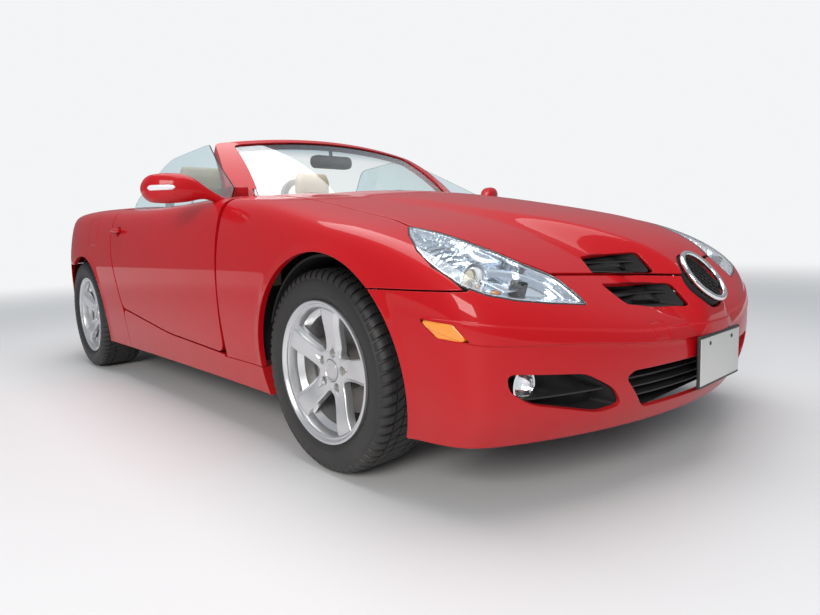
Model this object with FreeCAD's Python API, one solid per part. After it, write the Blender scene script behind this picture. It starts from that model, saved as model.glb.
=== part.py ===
"""Two-seat convertible car with its folding roof down, as separate bodies and panels.

Frame: millimetres, +X to the nose, +Y to the car's left, +Z up.
The origin is on the ground at mid-length and mid-width.
"""
import FreeCAD, Part
import math
import os

V = FreeCAD.Vector

# Overall size and running gear
WHEELBASE = 2430.0
FRONT_AXLE = 1206.0
REAR_AXLE = FRONT_AXLE - WHEELBASE
TYRE_RADIUS = 316.0
RIM_RADIUS = 221.0
RIM_BORE = 196.0
FRONT_TYRE_WIDTH = 205.0
REAR_TYRE_WIDTH = 225.0
FRONT_TRACK = 1530.0
REAR_TRACK = 1541.0
ARCH_GAP = 52.0
REAR_ARCH_GAP = 34.0
DISC_RADIUS = 150.0
DISC_WIDTH = 26.0
SPOKES = 5
SPOKE_TURN = 11.0
HUB_RADIUS = 74.0

# Gaps and thicknesses
SHUT_GAP = 7.0
SEAT_GAP = 0.4
PANEL = 16.0
LAMP_DEPTH = 46.0
SLAB = 300.0
GLASS = 5.0
FLOOR_Z = 165.0
FLOOR = 22.0
SILL_BOTTOM = 185.0

# Cabin lines
DOOR_FRONT = 546.0
DOOR_REAR = -704.0
DOOR_BOTTOM = 300.0
BELT_Y = 752.0
BELT_Z = 926.0
BONNET_REAR = 690.0
LID_FRONT = -870.0
LID_REAR_HALF = 594.0
TUNNEL_HALF = 120.0
TUNNEL_TOP = 330.0
HINGE_INSET = 60.0
HINGE_BACK = 60.0

# Height of the body along its length: x, height on the centreline, height beside the bonnet's dome
ROOFLINE = [
    (-2150, 730, 730), (-2041, 860, 860), (-1900, 938, 938), (-1600, 968, 968), (-1200, 968, 968),
    (-700, 948, 948), (0, 930, 930), (500, 935, 930), (700, 925, 917), (950, 897, 884),
    (1218, 852, 830), (1500, 798, 768), (1645, 765, 715), (1820, 703, 615), (1925, 640, 535),
    (1980, 588, 495), (2040, 515, 445), (2100, 430, 380)]
# Edge of the dome: x, half width, half width of its soft step
DOME = [
    (-2100, 300, 120), (600, 470, 110), (1300, 370, 70), (1640, 290, 60), (1800, 215, 56),
    (1925, 140, 55), (2000, 105, 52), (2100, 80, 50)]
# Half width of the body along its length
HALF_WIDTH = [
    (-2150, 560), (-2000, 700), (-1850, 802), (-1650, 862), (-1450, 887), (-1224, 893), (-700, 885),
    (0, 878), (560, 880), (900, 886), (1206, 893), (1500, 885), (1700, 868), (1900, 850), (2100, 835)]
# How far the nose and the tail fall back from their foremost plane: height, setback
NOSE_SETBACK = [
    (150, 95), (190, 62), (230, 38), (300, 14), (400, 2), (500, 0), (600, 20), (700, 60), (900, 200)]
TAIL_SETBACK = [
    (150, 130), (200, 90), (300, 30), (450, 4), (600, 12), (700, 44), (800, 66), (900, 60), (1100, 60)]
NOSE_X = 2045.0
TAIL_X = -2045.0


class Curve:
    """Natural cubic spline through a short table."""

    def __init__(self, table, column=1):
        self.x = [float(row[0]) for row in table]
        self.y = [float(row[column]) for row in table]
        n = len(self.x)
        h = [self.x[i + 1] - self.x[i] for i in range(n - 1)]
        slope = [(self.y[i + 1] - self.y[i]) / h[i] for i in range(n - 1)]
        lower, diag, right = [0.0] * n, [1.0] * n, [0.0] * n
        upper = [0.0] * n
        for i in range(1, n - 1):
            lower[i], diag[i], upper[i] = h[i - 1], 2 * (h[i - 1] + h[i]), h[i]
            right[i] = 6 * (slope[i] - slope[i - 1])
        for i in range(1, n):
            w = lower[i] / diag[i - 1]
            diag[i] -= w * upper[i - 1]
            right[i] -= w * right[i - 1]
        self.m = [0.0] * n
        for i in range(n - 1, -1, -1):
            ahead = self.m[i + 1] if i + 1 < n else 0.0
            self.m[i] = (right[i] - upper[i] * ahead) / diag[i]

    def __call__(self, x):
        x = min(max(x, self.x[0]), self.x[-1])
        i = 0
        while i < len(self.x) - 2 and x > self.x[i + 1]:
            i += 1
        h = self.x[i + 1] - self.x[i]
        a, b = self.x[i + 1] - x, x - self.x[i]
        bend = self.m[i] * (a ** 3 / h - h * a) / 6 + self.m[i + 1] * (b ** 3 / h - h * b) / 6
        return bend + (self.y[i] * a + self.y[i + 1] * b) / h


CENTRE_Z = Curve(ROOFLINE, 1)
EDGE_Z = Curve(ROOFLINE, 2)
DOME_Y = Curve(DOME, 1)
DOME_STEP = Curve(DOME, 2)
WIDTH = Curve(HALF_WIDTH)
NOSE_BACK = Curve(NOSE_SETBACK)
TAIL_BACK = Curve(TAIL_SETBACK)


def soft_max(a, b, k):
    return 0.5 * (a + b + math.sqrt((a - b) ** 2 + k * k))


def soft_step(t):
    t = min(max(t, 0.0), 1.0)
    return t ** 3 * (t * (6 * t - 15) + 10)


def top_height(x, y):
    a = abs(y)
    dome = 1 - soft_step((a - (DOME_Y(x) - DOME_STEP(x))) / (2 * DOME_STEP(x)))
    edge = EDGE_Z(x) - 26 * (a / 740) ** 2
    return edge + (CENTRE_Z(x) - EDGE_Z(x)) * dome - 6 * (a / 300) ** 2 * dome


def side_reach(x, z):
    above, below = max(z - 560, 0), max(560 - z, 0)
    return WIDTH(x) - 60 * (above / 400) ** 2.2 - 22 * (below / 300) ** 2


def body(p):
    """Less than zero inside the car's outer surface, more outside it."""
    x, y, z = p.x, p.y, p.z
    f = soft_max(z - top_height(x, y), abs(y) - side_reach(x, z), 56)
    f = soft_max(f, x - (NOSE_X - 3.3e-4 * y * y - NOSE_BACK(z)), 64)
    return soft_max(f, (TAIL_X + 3.4e-4 * y * y + TAIL_BACK(z)) - x, 90)


def surface_point(origin, way, reach=1500.0):
    """Where a ray from inside the car leaves its outer surface."""
    near, far = 0.0, reach
    for _ in range(26):
        middle = 0.5 * (near + far)
        if body(origin + way * middle) < 0:
            near = middle
        else:
            far = middle
    return origin + way * (0.5 * (near + far))


CORE_Z = 480.0
LID_CORE = 150.0


def around(x, turn, lean=0.0, core=CORE_Z):
    """A surface point by its angle from upright; lean tips the ray forward."""
    t, a = math.radians(turn), math.radians(lean)
    way = V(math.sin(a), -math.cos(a) * math.sin(t), math.cos(a) * math.cos(t))
    return surface_point(V(x, 0, core), way)


def across_end(x, turn, z):
    """A surface point at the nose (turn about 0) or the tail (turn about 180)."""
    t = math.radians(turn)
    return surface_point(V(x, 0, z), V(math.cos(t), -math.sin(t), 0))


def spread(first, last, count):
    return [first + (last - first) * i / (count - 1) for i in range(count)]


def skin(rows):
    surface = Part.BSplineSurface()
    surface.interpolate(rows)
    return surface.toShape()


def trimmed(face, keep=(), remove=()):
    """The largest patch of a skin left inside some prisms and outside others."""
    for tool in keep:
        face = face.common(tool)
    for tool in remove:
        face = face.cut(tool)
    return max(face.Faces, key=lambda f: f.Area)


def sheet(face, way):
    return largest(face.extrude(way))


def normal(p):
    step = 0.5
    rise = [body(p + d * step) - body(p - d * step) for d in (V(1, 0, 0), V(0, 1, 0), V(0, 0, 1))]
    return V(*rise).normalize()


def carried_on(line):
    """A row of points with one more at each end, as far on as its last gap."""
    return [line[0] * 2 - line[1]] + line + [line[-1] * 2 - line[-2]]


def inside(rows, way, inset=0.0):
    """The thick slab of car under a skin, followed along a direction; a slab set in reaches past its borders."""
    if inset:
        rows = [carried_on([p - normal(p) * inset for p in row]) for row in rows]
        columns = [carried_on(list(column)) for column in zip(*rows)]
        rows = [list(row) for row in zip(*columns)]
    return sheet(skin(rows), way * SLAB)


def panel(rows, way, prism, depth):
    """The part of a prism between the outer surface and the same surface set in by a depth."""
    return largest(prism.common(inside(rows, way)).cut(inside(rows, way, depth)))


def clear_of(piece, panels, shift):
    """A piece cut back from some panels, with the seat gap left along a direction."""
    for panel in panels:
        piece = piece.cut(panel)
        piece = piece.cut(panel.translated(shift))
    return largest(piece)


def largest(shape):
    if not shape.Solids:
        raise ValueError("no solid left")
    return max(shape.Solids, key=lambda s: s.Volume)


def box(x0, x1, y0, y1, z0, z1):
    return Part.makeBox(x1 - x0, y1 - y0, z1 - z0, V(x0, y0, z0))


def rod(start, end, radius):
    start, end = V(*start), V(*end)
    return Part.makeCylinder(radius, (end - start).Length, start, end - start)


def ring(start, end, outer, inner):
    return rod(start, end, outer).cut(rod(start, end, inner))


def outline(points, place):
    """A closed wire of lines and corner arcs: each point is u, v and its corner radius."""
    count = len(points)
    cuts = []
    for i, (u, v, radius) in enumerate(points):
        here = V(u, v, 0)
        back = V(*points[i - 1][:2], 0) - here
        ahead = V(*points[(i + 1) % count][:2], 0) - here
        a, b = V(back).normalize(), V(ahead).normalize()
        half = 0.5 * a.getAngle(b)
        run = radius / math.tan(half) if radius else 0.0
        run = min(run, 0.49 * back.Length, 0.49 * ahead.Length)
        if run < 0.01 or half > 1.55:
            cuts.append((here, None, here))
            continue
        actual = run * math.tan(half)
        centre = here + (a + b).normalize() * (actual / math.sin(half))
        middle = centre + (here - centre).normalize() * actual
        cuts.append((here + a * run, middle, here + b * run))
    edges = []
    for i, (start, middle, end) in enumerate(cuts):
        if middle is not None:
            edges.append(Part.Arc(place(start), place(middle), place(end)).toShape())
        following = cuts[(i + 1) % count][0]
        if (following - end).Length > 0.01:
            edges.append(Part.LineSegment(place(end), place(following)).toShape())
    return Part.Wire(edges)


def side_prism(points, y0, y1):
    """A shape drawn in side view as x, z, radius."""
    wire = outline(points, lambda p: V(p.x, y0, p.y))
    return Part.Face(wire).extrude(V(0, y1 - y0, 0))


def plan_prism(points, z0, z1):
    """A shape drawn from above as x, y, radius."""
    wire = outline(points, lambda p: V(p.x, p.y, z0))
    return Part.Face(wire).extrude(V(0, 0, z1 - z0))


def front_prism(points, x0, x1):
    """A shape drawn from the front as y, z, radius."""
    wire = outline(points, lambda p: V(x0, p.x, p.y))
    return Part.Face(wire).extrude(V(x1 - x0, 0, 0))


def other_side(shape):
    return shape.mirror(V(0, 0, 0), V(0, 1, 0))


def both_sides(shape):
    return [shape, other_side(shape)]


def save(name, shapes):
    shapes = shapes if isinstance(shapes, list) else [shapes]
    solids = [solid for shape in shapes for solid in shape.Solids]
    result = solids[0] if len(solids) == 1 else Part.makeCompound(solids)
    result.exportStep("parts/" + name + ".step")
    print(name, len(solids), round(sum(s.Volume for s in solids) / 1e6, 2), all(s.isValid() for s in solids))


def save_pair(name, shapes):
    shapes = shapes if isinstance(shapes, list) else [shapes]
    save(name + "_right", shapes)
    save(name + "_left", [other_side(shape) for shape in shapes])


# Hinges
BONNET_AXIS = (694.0, 868.0)
LID_AXIS = (-884.0, 912.0)
PIN_RADIUS = 4.0
ARM_WIDTH = 8.0
EAR_HALF = 6.0
EAR_FOOT = 16.0
HINGE_X = DOOR_FRONT - HINGE_BACK
HINGE_Y = 872.0 - HINGE_INSET
SWING_RADIUS = math.hypot(HINGE_BACK, HINGE_INSET + 6) + SHUT_GAP
HINGE_PIN = 10.0
SILL_INNER = 776.0
DOOR_INNER = 712.0

# Boundaries between panels, right side
BONNET_EDGE = [(500, -704), (800, -690), (1000, -682), (1200, -678), (1366, -684), (1452, -706)]
LAMP_INNER = [(1541, -664), (1635, -631), (1737, -578), (1809, -510)]
LAMP_OUTER = [(1862, -616), (1830, -703), (1792, -771), (1745, -812), (1663, -826), (1598, -813), (1515, -764)]
LAMP_TIP = (1897, -488)
LAMP_REAR = (1452, -706)
LAMP_FOOT = 490.0
WING_SPLIT = 586.0
NOSE_SPLIT = [(0, 574), (-500, 606)]
ARCH_FRONT = (FRONT_AXLE + 14, TYRE_RADIUS, TYRE_RADIUS + ARCH_GAP)
ARCH_REAR = (REAR_AXLE, TYRE_RADIUS, TYRE_RADIUS + REAR_ARCH_GAP)
TAIL_SPLIT = 612.0
PLATE_BACK = -2027.0
PLATE_TOP = TAIL_SPLIT - 32
PLATE_HEIGHT = 110.0
LAMP_SPLIT_X = -1822.0


def arch_cut(arch, extra=0.0, inner=420.0):
    x, z, radius = arch
    return rod((x, -960, z), (x, -inner, z), radius + extra)


def lamp_plan(extra=0.0):
    points = [LAMP_REAR] + LAMP_INNER + [LAMP_TIP] + LAMP_OUTER
    wire = outline([(x, y, 12) for x, y in points], lambda p: V(p.x, p.y, LAMP_FOOT))
    if extra:
        wire = wire.makeOffset2D(extra)
    return Part.Face(wire).extrude(V(0, 0, 500))


def side_rows(x0, x1, count, first=59.3, last=118.0, rows=9):
    stations = spread(x0, x1, count)
    return [[around(x, t) for t in spread(first, last, rows)] for x in stations]


def above_nose_split(rise):
    """Everything above the shut line between the bonnet and the bumper."""
    (_, z0), (y1, z1) = NOSE_SPLIT
    points = [(0, z0 + rise, 0), (y1, z1 + rise, 0), (-900, z1 + rise, 0), (-900, 1100, 0),
              (900, 1100, 0), (900, z1 + rise, 0), (-y1, z1 + rise, 0)]
    return front_prism(points, 500, 2200)


def build_bonnet():
    stations = [(640, 0), (800, 0), (950, 0), (1100, 0), (1250, 0), (1380, 0), (1480, 0), (1535, 6),
                (1560, 14), (1565, 22), (1565, 30), (1565, 38), (1565, 45), (1565, 52)]
    turns = spread(-50, 50, 17)
    rows = [[around(x, t, lean, LID_CORE) for t in turns] for x, lean in stations]
    edge = [(x, y + SHUT_GAP / 2, 0) for x, y in BONNET_EDGE if x > BONNET_REAR]
    inner = [(x, y + SHUT_GAP, 0) for x, y in LAMP_INNER]
    start = (BONNET_REAR, BONNET_EDGE[1][1] + 4, 20)
    half = [start] + edge + inner + [(2100, -500, 0)]
    plan = plan_prism(half + [(x, -y, r) for x, y, r in reversed(half)], 300, 1100)
    piece = panel(rows, V(-0.5, 0, -0.87), plan.common(above_nose_split(SHUT_GAP / 2)), PANEL)
    for cutter in louvre_cutters()[0] + [ring_recess(SEAT_GAP)]:
        piece = piece.cut(cutter)
    for arm in both_sides(lid_arm(BONNET_AXIS, -560, 30)):
        piece = piece.fuse(arm)
    for bore in both_sides(lid_pin(BONNET_AXIS, -560, PIN_RADIUS + SEAT_GAP)):
        piece = piece.cut(bore)
    return largest(piece)


def lid_arm(axis, y, reach):
    """A plate under a lid that holds its hinge bore: reach runs along X into the lid."""
    x, z = axis
    eye = rod((x, y, z), (x, y - ARM_WIDTH, z), PIN_RADIUS + 5)
    x0, x1 = sorted((x, x + reach))
    return eye.fuse(box(x0, x1, y - ARM_WIDTH, y, z - 8, z + 22))


def lid_pin(axis, y, radius):
    x, z = axis
    return rod((x, y + 6, z), (x, y - ARM_WIDTH - 12, z), radius)


def lid_ear(axis, y, reach, foot):
    """The fixed ear and pin that a lid's arm turns on: a post at the pin on a low foot."""
    x, z = axis
    outer = y - ARM_WIDTH - 4
    x0, x1 = sorted((x - math.copysign(EAR_HALF, reach), x + reach))
    base = box(x0, x1, outer - 8, outer, foot, foot + EAR_FOOT)
    post = box(x - EAR_HALF, x + EAR_HALF, outer - 8, outer, foot, z + PIN_RADIUS)
    return lid_pin(axis, y, PIN_RADIUS).fuse(base).fuse(post)


def build_wing():
    stations = [(500, 0), (640, 0), (780, 0), (920, 0), (1060, 0), (1200, 0), (1340, 0), (1480, 0),
                (1600, 0), (1700, 3), (1790, 6)]
    rows = [[around(x, t, lean) for t in spread(46, 118, 12)] for x, lean in stations]
    shut = DOOR_FRONT + SHUT_GAP
    side = [(shut, 285, 0), (shut, 1000, 0), (1760, 1000, 0), (1760, WING_SPLIT + 2, 0),
            (1100, WING_SPLIT + 2, 0), (1100, 285, 0)]
    plan = [(x, y - SHUT_GAP / 2, 0) for x, y in BONNET_EDGE]
    plan += [(1700, -640, 0), (1900, -640, 0), (1900, -1000, 0), (400, -1000, 0), (400, -704, 0)]
    prism = side_prism(side, -1000, -400).common(plan_prism(plan, 200, 1100))
    swing = rod((HINGE_X, -HINGE_Y, 150), (HINGE_X, -HINGE_Y, 1100), SWING_RADIUS)
    for cutter in (lamp_plan(SEAT_GAP), arch_cut(ARCH_FRONT), swing):
        prism = prism.cut(cutter)
    return panel(rows, V(0, 0.72, -0.69), prism, PANEL)


def build_lamp():
    stations = [(1380, 0), (1460, 0), (1540, 0), (1620, 0), (1700, 3), (1780, 6), (1850, 10)]
    rows = [[around(x, t, lean) for t in spread(46, 100, 12)] for x, lean in stations]
    return panel(rows, V(0, 0.72, -0.69), lamp_plan(), LAMP_DEPTH)


def build_front_bumper():
    turns = spread(-8, 74, 14)
    heights = [190, 215, 250, 300, 360, 430, 500, 550, 590, 625]
    rows = [[across_end(1300, t, z) for z in heights] for t in turns]
    side = [(1300, 100, 0), (2200, 100, 0), (2200, 700, 0), (1735, 700, 0), (1735, WING_SPLIT - 2, 0),
            (1300, WING_SPLIT - 2, 0)]
    prism = side_prism(side, -1000, 0).cut(above_nose_split(-SHUT_GAP / 2))
    prism = prism.cut(arch_cut(ARCH_FRONT)).cut(lamp_plan(SEAT_GAP))
    half = panel(rows, V(-0.72, 0.69, 0), prism, PANEL)
    piece = half.fuse(other_side(half)).removeSplitter()
    cutters = intake_cutters() + louvre_cutters()[1] + [ring_recess(SHUT_GAP)]
    cutters += both_sides(marker_prism(SEAT_GAP))
    for cutter in cutters:
        piece = piece.cut(cutter)
    return largest(piece)


def marker_prism(extra):
    points = [(1645 - extra, 516 + extra, 6), (1744, 508 + extra, 10), (1784 + extra, 464, 8), (1700, 472 - extra, 12)]
    return side_prism(points, -960, -760)


def build_marker_lamp():
    heights = [430, 455, 480, 505, 540]
    rows = [[across_end(1300, t, z) for z in heights] for t in spread(45, 76, 7)]
    return panel(rows, V(-0.3, 0.95, 0), marker_prism(0), PANEL + 4)


def intake_cutters():
    """The centre intake and the two side intakes, drawn from the front."""
    centre = [(-430, 335, 30), (-405, 352, 20), (405, 352, 20), (430, 335, 30), (345, 238, 40), (-345, 238, 40)]
    side = [(-760, 385, 20), (-752, 340, 20), (-700, 303, 30), (-500, 252, 20), (-430, 262, 25), (-470, 315, 40),
            (-560, 365, 60)]
    flank = front_prism(side, 1780, 2200)
    return [front_prism(centre, 1780, 2200), flank, other_side(flank)]


def louvre_cutters():
    """Slots beside the nose ring: the upper pair in the bonnet, the lower pair in the bumper."""
    upper = front_prism([(-315, 643, 10), (-165, 650, 10), (-150, 590, 8), (-350, 600, 8)], 1650, 2100)
    lower = front_prism([(-365, 572, 12), (-130, 558, 8), (-112, 492, 10), (-240, 500, 10), (-345, 518, 40)],
                        1700, 2100)
    return both_sides(upper), both_sides(lower)


RING_CENTRE = V(1986, 0, 573)
RING_AXIS = V(0.78, 0, 0.626).normalize()
RING_RADIUS = 92.0
RING_WIRE = 8.0


def ring_recess(extra):
    return Part.makeCylinder(RING_RADIUS + extra, 140, RING_CENTRE - RING_AXIS * 60, RING_AXIS)


def build_nose_ring():
    """The chrome ring, its black mesh disc and the cup behind them."""
    torus = Part.makeTorus(RING_RADIUS - RING_WIRE, RING_WIRE, RING_CENTRE, RING_AXIS)
    cup = Part.makeCylinder(RING_RADIUS, 36, RING_CENTRE - RING_AXIS * 36, RING_AXIS)
    hollow = Part.makeCylinder(RING_RADIUS - RING_WIRE, 60, RING_CENTRE - RING_AXIS * 22, RING_AXIS)
    return largest(torus.fuse(cup.cut(hollow)))


def build_door():
    rows = side_rows(DOOR_REAR - 60, DOOR_FRONT + 60, 9)
    side = [(DOOR_FRONT, DOOR_BOTTOM - 4, 46), (DOOR_FRONT, 1000, 0), (DOOR_REAR, 1000, 0),
            (DOOR_REAR, 700, 300), (-575, 400, 60), (0, 322, 1500)]
    piece = side_prism(side, -1000, -DOOR_INNER).common(inside(rows, V(0, 1, 0))).fuse(build_handle())
    return largest(piece.cut(door_pin(HINGE_PIN + SEAT_GAP, 150)).cut(side_glass(SEAT_GAP)))


def door_pin(radius, foot):
    return rod((HINGE_X, -HINGE_Y, foot), (HINGE_X, -HINGE_Y, DOOR_BOTTOM + 30), radius)


def build_quarter():
    stations = [-520, -660, -800, -940, -1080, -1224, -1370, -1500, -1620, -1730, -1830]
    rows = [[around(x, t) for t in spread(50, 118, 12)] for x in stations]
    gap = SHUT_GAP
    side = [(DOOR_REAR - gap, 1000, 0), (DOOR_REAR - gap, 700 - gap, 300), (-575 - gap, 397 - gap, 60),
            (-575 - gap, SILL_BOTTOM, 0), (REAR_AXLE, SILL_BOTTOM, 0), (REAR_AXLE, TAIL_SPLIT, 0),
            (LAMP_SPLIT_X, TAIL_SPLIT, 0), (LAMP_SPLIT_X, 1000, 0)]
    plan = [(-400, -BELT_Y + 8, 0), (LID_FRONT, -BELT_Y + 8, 0), (LID_FRONT, -646, 0), (-1840, -600, 0),
            (-2100, -600, 0), (-2100, -1000, 0), (-400, -1000, 0)]
    prism = side_prism(side, -1000, -400).common(plan_prism(plan, 100, 1100)).cut(arch_cut(ARCH_REAR))
    return panel(rows, V(0, 0.72, -0.69), prism, PANEL)


def build_sill():
    rows = side_rows(-950, 900, 11, first=95, last=119, rows=5)
    side = [(-579, SILL_BOTTOM, 0), (ARCH_FRONT[0] - 300, SILL_BOTTOM, 0),
            (ARCH_FRONT[0] - 300, 283, 0), (DOOR_FRONT + 2, 283, 0), (DOOR_FRONT, DOOR_BOTTOM - 10, 40),
            (0, 316, 1500), (-569, 392, 50), (-579, 330, 0)]
    piece = side_prism(side, -1000, -SILL_INNER - SEAT_GAP).common(inside(rows, V(0, 1, 0)))
    piece = piece.cut(arch_cut(ARCH_FRONT)).cut(arch_cut(ARCH_REAR))
    return largest(piece.fuse(door_pin(HINGE_PIN, DOOR_BOTTOM - 30)))


def build_boot_lid():
    stations = [(-800, 0), (-950, 0), (-1100, 0), (-1250, 0), (-1400, 0), (-1520, -4), (-1580, -12),
                (-1610, -21), (-1620, -30), (-1620, -39), (-1620, -48)]
    rows = [[around(x, t, lean, LID_CORE) for t in spread(-45, 45, 15)] for x, lean in stations]
    plan = [(LID_FRONT - SHUT_GAP, -640, 30), (LID_FRONT - SHUT_GAP, 640, 30), (-1840, LID_REAR_HALF, 30),
            (-2200, 560, 0), (-2200, -560, 0), (-1840, -LID_REAR_HALF, 30)]
    piece = panel(rows, V(0.5, 0, -0.87), plan_prism(plan, TAIL_SPLIT + SHUT_GAP, 1100), PANEL)
    for arm in both_sides(lid_arm(LID_AXIS, -500, -30)):
        piece = piece.fuse(arm)
    for bore in both_sides(lid_pin(LID_AXIS, -500, PIN_RADIUS + SEAT_GAP)):
        piece = piece.cut(bore)
    return largest(piece)


def build_rear_bumper():
    turns = spread(-8, 72, 13)
    heights = [200, 235, 285, 350, 430, 510, 570, 640]
    rows = [[across_end(-1300, 180 - t, z) for z in heights] for t in turns]
    prism = box(-2200, -1300, -1000, 0, 150, TAIL_SPLIT - 2).cut(arch_cut(ARCH_REAR))
    half = panel(rows, V(0.72, 0.69, 0), prism, PANEL)
    piece = half.fuse(other_side(half)).removeSplitter()
    return largest(piece.cut(box(-2200, PLATE_BACK, -275, 275, PLATE_TOP - PLATE_HEIGHT - 15, PLATE_TOP + 15)))


def build_tail_lamp():
    turns = spread(20, 70, 10)
    rows = [[across_end(-1300, 180 - t, z) for z in spread(590, 900, 7)] for t in turns]
    inner = -LID_REAR_HALF - SHUT_GAP
    back = [(inner, TAIL_SPLIT + 4, 20), (-900, TAIL_SPLIT + 4, 20), (-900, 800, 20), (inner - 10, 800, 30)]
    return panel(rows, V(0.9, 0.3, 0), front_prism(back, -2200, LAMP_SPLIT_X - SEAT_GAP), LAMP_DEPTH)


def screen_point(y, up):
    """A point of the windscreen, up from 0 at the foot to 1 at the head."""
    share = (y / 600.0) ** 2
    foot = V(545 - 150 * share, y, 890 + 16 * share)
    head = V(73 - 66 * share, y * 0.93, 1214 - 27 * share)
    point = foot + (head - foot) * up
    swell = 4 * up * (1 - up)
    return point + SCREEN_NORMAL * (24 * swell)


def screen_skin(lift):
    rows = []
    for up in spread(-0.06, 1.06, 6):
        rows.append([screen_point(y, up) + SCREEN_NORMAL * lift for y in spread(-790, 790, 11)])
    return skin(rows)


SCREEN_NORMAL = V(0.566, 0, 0.824)


def screen_window(foot_half, head_half, low, high, radius, depth=400.0):
    """A prism square to the screen; its half width runs from foot to head, cut at low and high."""
    foot, head = screen_point(0, 0), screen_point(0, 1)
    way = V(head - foot).normalize()
    length = (head - foot).Length
    low_half = foot_half + (head_half - foot_half) * low
    high_half = foot_half + (head_half - foot_half) * high
    points = [(-low_half, low * length, radius), (low_half, low * length, radius),
              (high_half, high * length, radius), (-high_half, high * length, radius)]
    wire = outline(points, lambda p: foot + V(0, p.x, 0) + way * p.y - SCREEN_NORMAL * depth)
    return Part.Face(wire).extrude(SCREEN_NORMAL * 2 * depth)


def above_screen(lift, half):
    """Everything over the screen's surface, out to a half width."""
    face = trimmed(screen_skin(lift), [box(-500, 1200, -half, half, 500, 1400)])
    return sheet(face, SCREEN_NORMAL * 400)


def build_screen_frame():
    outer = screen_window(752, 600, -0.1, 1.0, 40)
    inner = screen_window(608, 524, -0.3, GLASS_TOP, 34)
    face = trimmed(screen_skin(FRAME_LIFT), [outer], [inner])
    piece = sheet(face, SCREEN_NORMAL * -FRAME_DEPTH).cut(box(200, 1200, -1000, 1000, 500, BELT_Z + 14))
    leg = box(322, 396, -640, -602, COWL_TOP + SEAT_GAP, 1000)
    for shape in both_sides(leg):
        piece = piece.fuse(shape)
    return largest(piece.cut(above_screen(FRAME_LIFT, 780)))


def build_screen():
    inner = screen_window(608 - SEAT_GAP, 524 - SEAT_GAP, 0.0, GLASS_TOP - 0.001, 34)
    return sheet(trimmed(screen_skin(2), [inner]), SCREEN_NORMAL * -GLASS)


FRAME_LIFT = 8.0
FRAME_DEPTH = 42.0
GLASS_TOP = 0.93
COWL_TOP = 876.0
GLASS_RADIUS = 1400.0
GLASS_FOOT = (-744.0, 905.0)
GLASS_HEAD = (-606.0, 1176.0)


def side_glass_centre():
    foot, head = V(0, *GLASS_FOOT), V(0, *GLASS_HEAD)
    chord = head - foot
    middle = (foot + head) * 0.5
    inward = V(0, chord.z, -chord.y).normalize()
    return middle + inward * math.sqrt(GLASS_RADIUS ** 2 - (chord.Length / 2) ** 2)


def glass_shell(extra):
    centre = side_glass_centre()
    start, end = (-900, centre.y, centre.z), (700, centre.y, centre.z)
    return ring(start, end, GLASS_RADIUS + extra, GLASS_RADIUS - GLASS - extra)


def side_glass(extra):
    side = [(470 + extra, BELT_Z - 60 - extra, 0), (470 + extra, BELT_Z + 6, 0), (0, 1172, 90), (-420, 1150, 170),
            (-668 - extra, BELT_Z + 30, 60), (-668 - extra, BELT_Z - 60 - extra, 0)]
    return largest(glass_shell(extra).common(side_prism(side, -900, -500)))


MIRROR = [(-760, 440, 872, 26, 22), (-830, 432, 912, 26, 24), (-885, 408, 928, 44, 50), (-940, 382, 932, 56, 60),
          (-1000, 345, 932, 52, 56), (-1036, 315, 932, 34, 36)]


def build_mirror(door, glass):
    """A shell lofted outward through sections: y, x, z, half length, half height."""
    rings = []
    for y, x, z, half_x, half_z in MIRROR:
        corners = [(x - half_x, z - half_z, 20), (x + half_x, z - half_z * 0.8, 24),
                   (x + half_x, z + half_z * 0.8, 24), (x - half_x, z + half_z, 20)]
        rings.append(outline(corners, lambda p, y=y: V(p.x, y, p.y)))
    return clear_of(Part.makeLoft(rings, True, True), [door, glass], V(0, -SEAT_GAP, 0))


def wheel_frame(x, y):
    """A function that turns distance outward from the wheel's centre plane into y."""
    side = 1 if y > 0 else -1
    return lambda out: y + side * out


def turned(profile, x, y):
    """A solid of revolution about a wheel's axle: each point is outward distance, radius."""
    out = wheel_frame(x, y)
    points = [V(x, out(s), TYRE_RADIUS + r) for s, r in profile]
    wire = Part.makePolygon(points + [points[0]])
    return Part.Face(wire).revolve(V(x, y, TYRE_RADIUS), V(0, 1, 0), 360)


RIM_HALF = 98.0
FLANGE = 8.0
BEAD_RADIUS = 203.0
WELL_RADIUS = 186.0
RIM_WALL = 8.0
RIM_FACE = 66.0
DISC_FACE = -22.0


def build_tyre(x, y, width):
    half = width / 2
    bead = RIM_HALF - FLANGE - SEAT_GAP
    seat = BEAD_RADIUS + SEAT_GAP
    flange = RIM_RADIUS + SEAT_GAP
    side = [(bead, seat), (bead, flange), (bead + 6, flange + 8), (half - 3, 246), (half, 268), (half - 4, 290),
            (half - 16, TYRE_RADIUS - 7), (half - 34, TYRE_RADIUS - 1.5), (0, TYRE_RADIUS)]
    return turned(side + [(-s, r) for s, r in reversed(side[:-1])], x, y)


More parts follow.
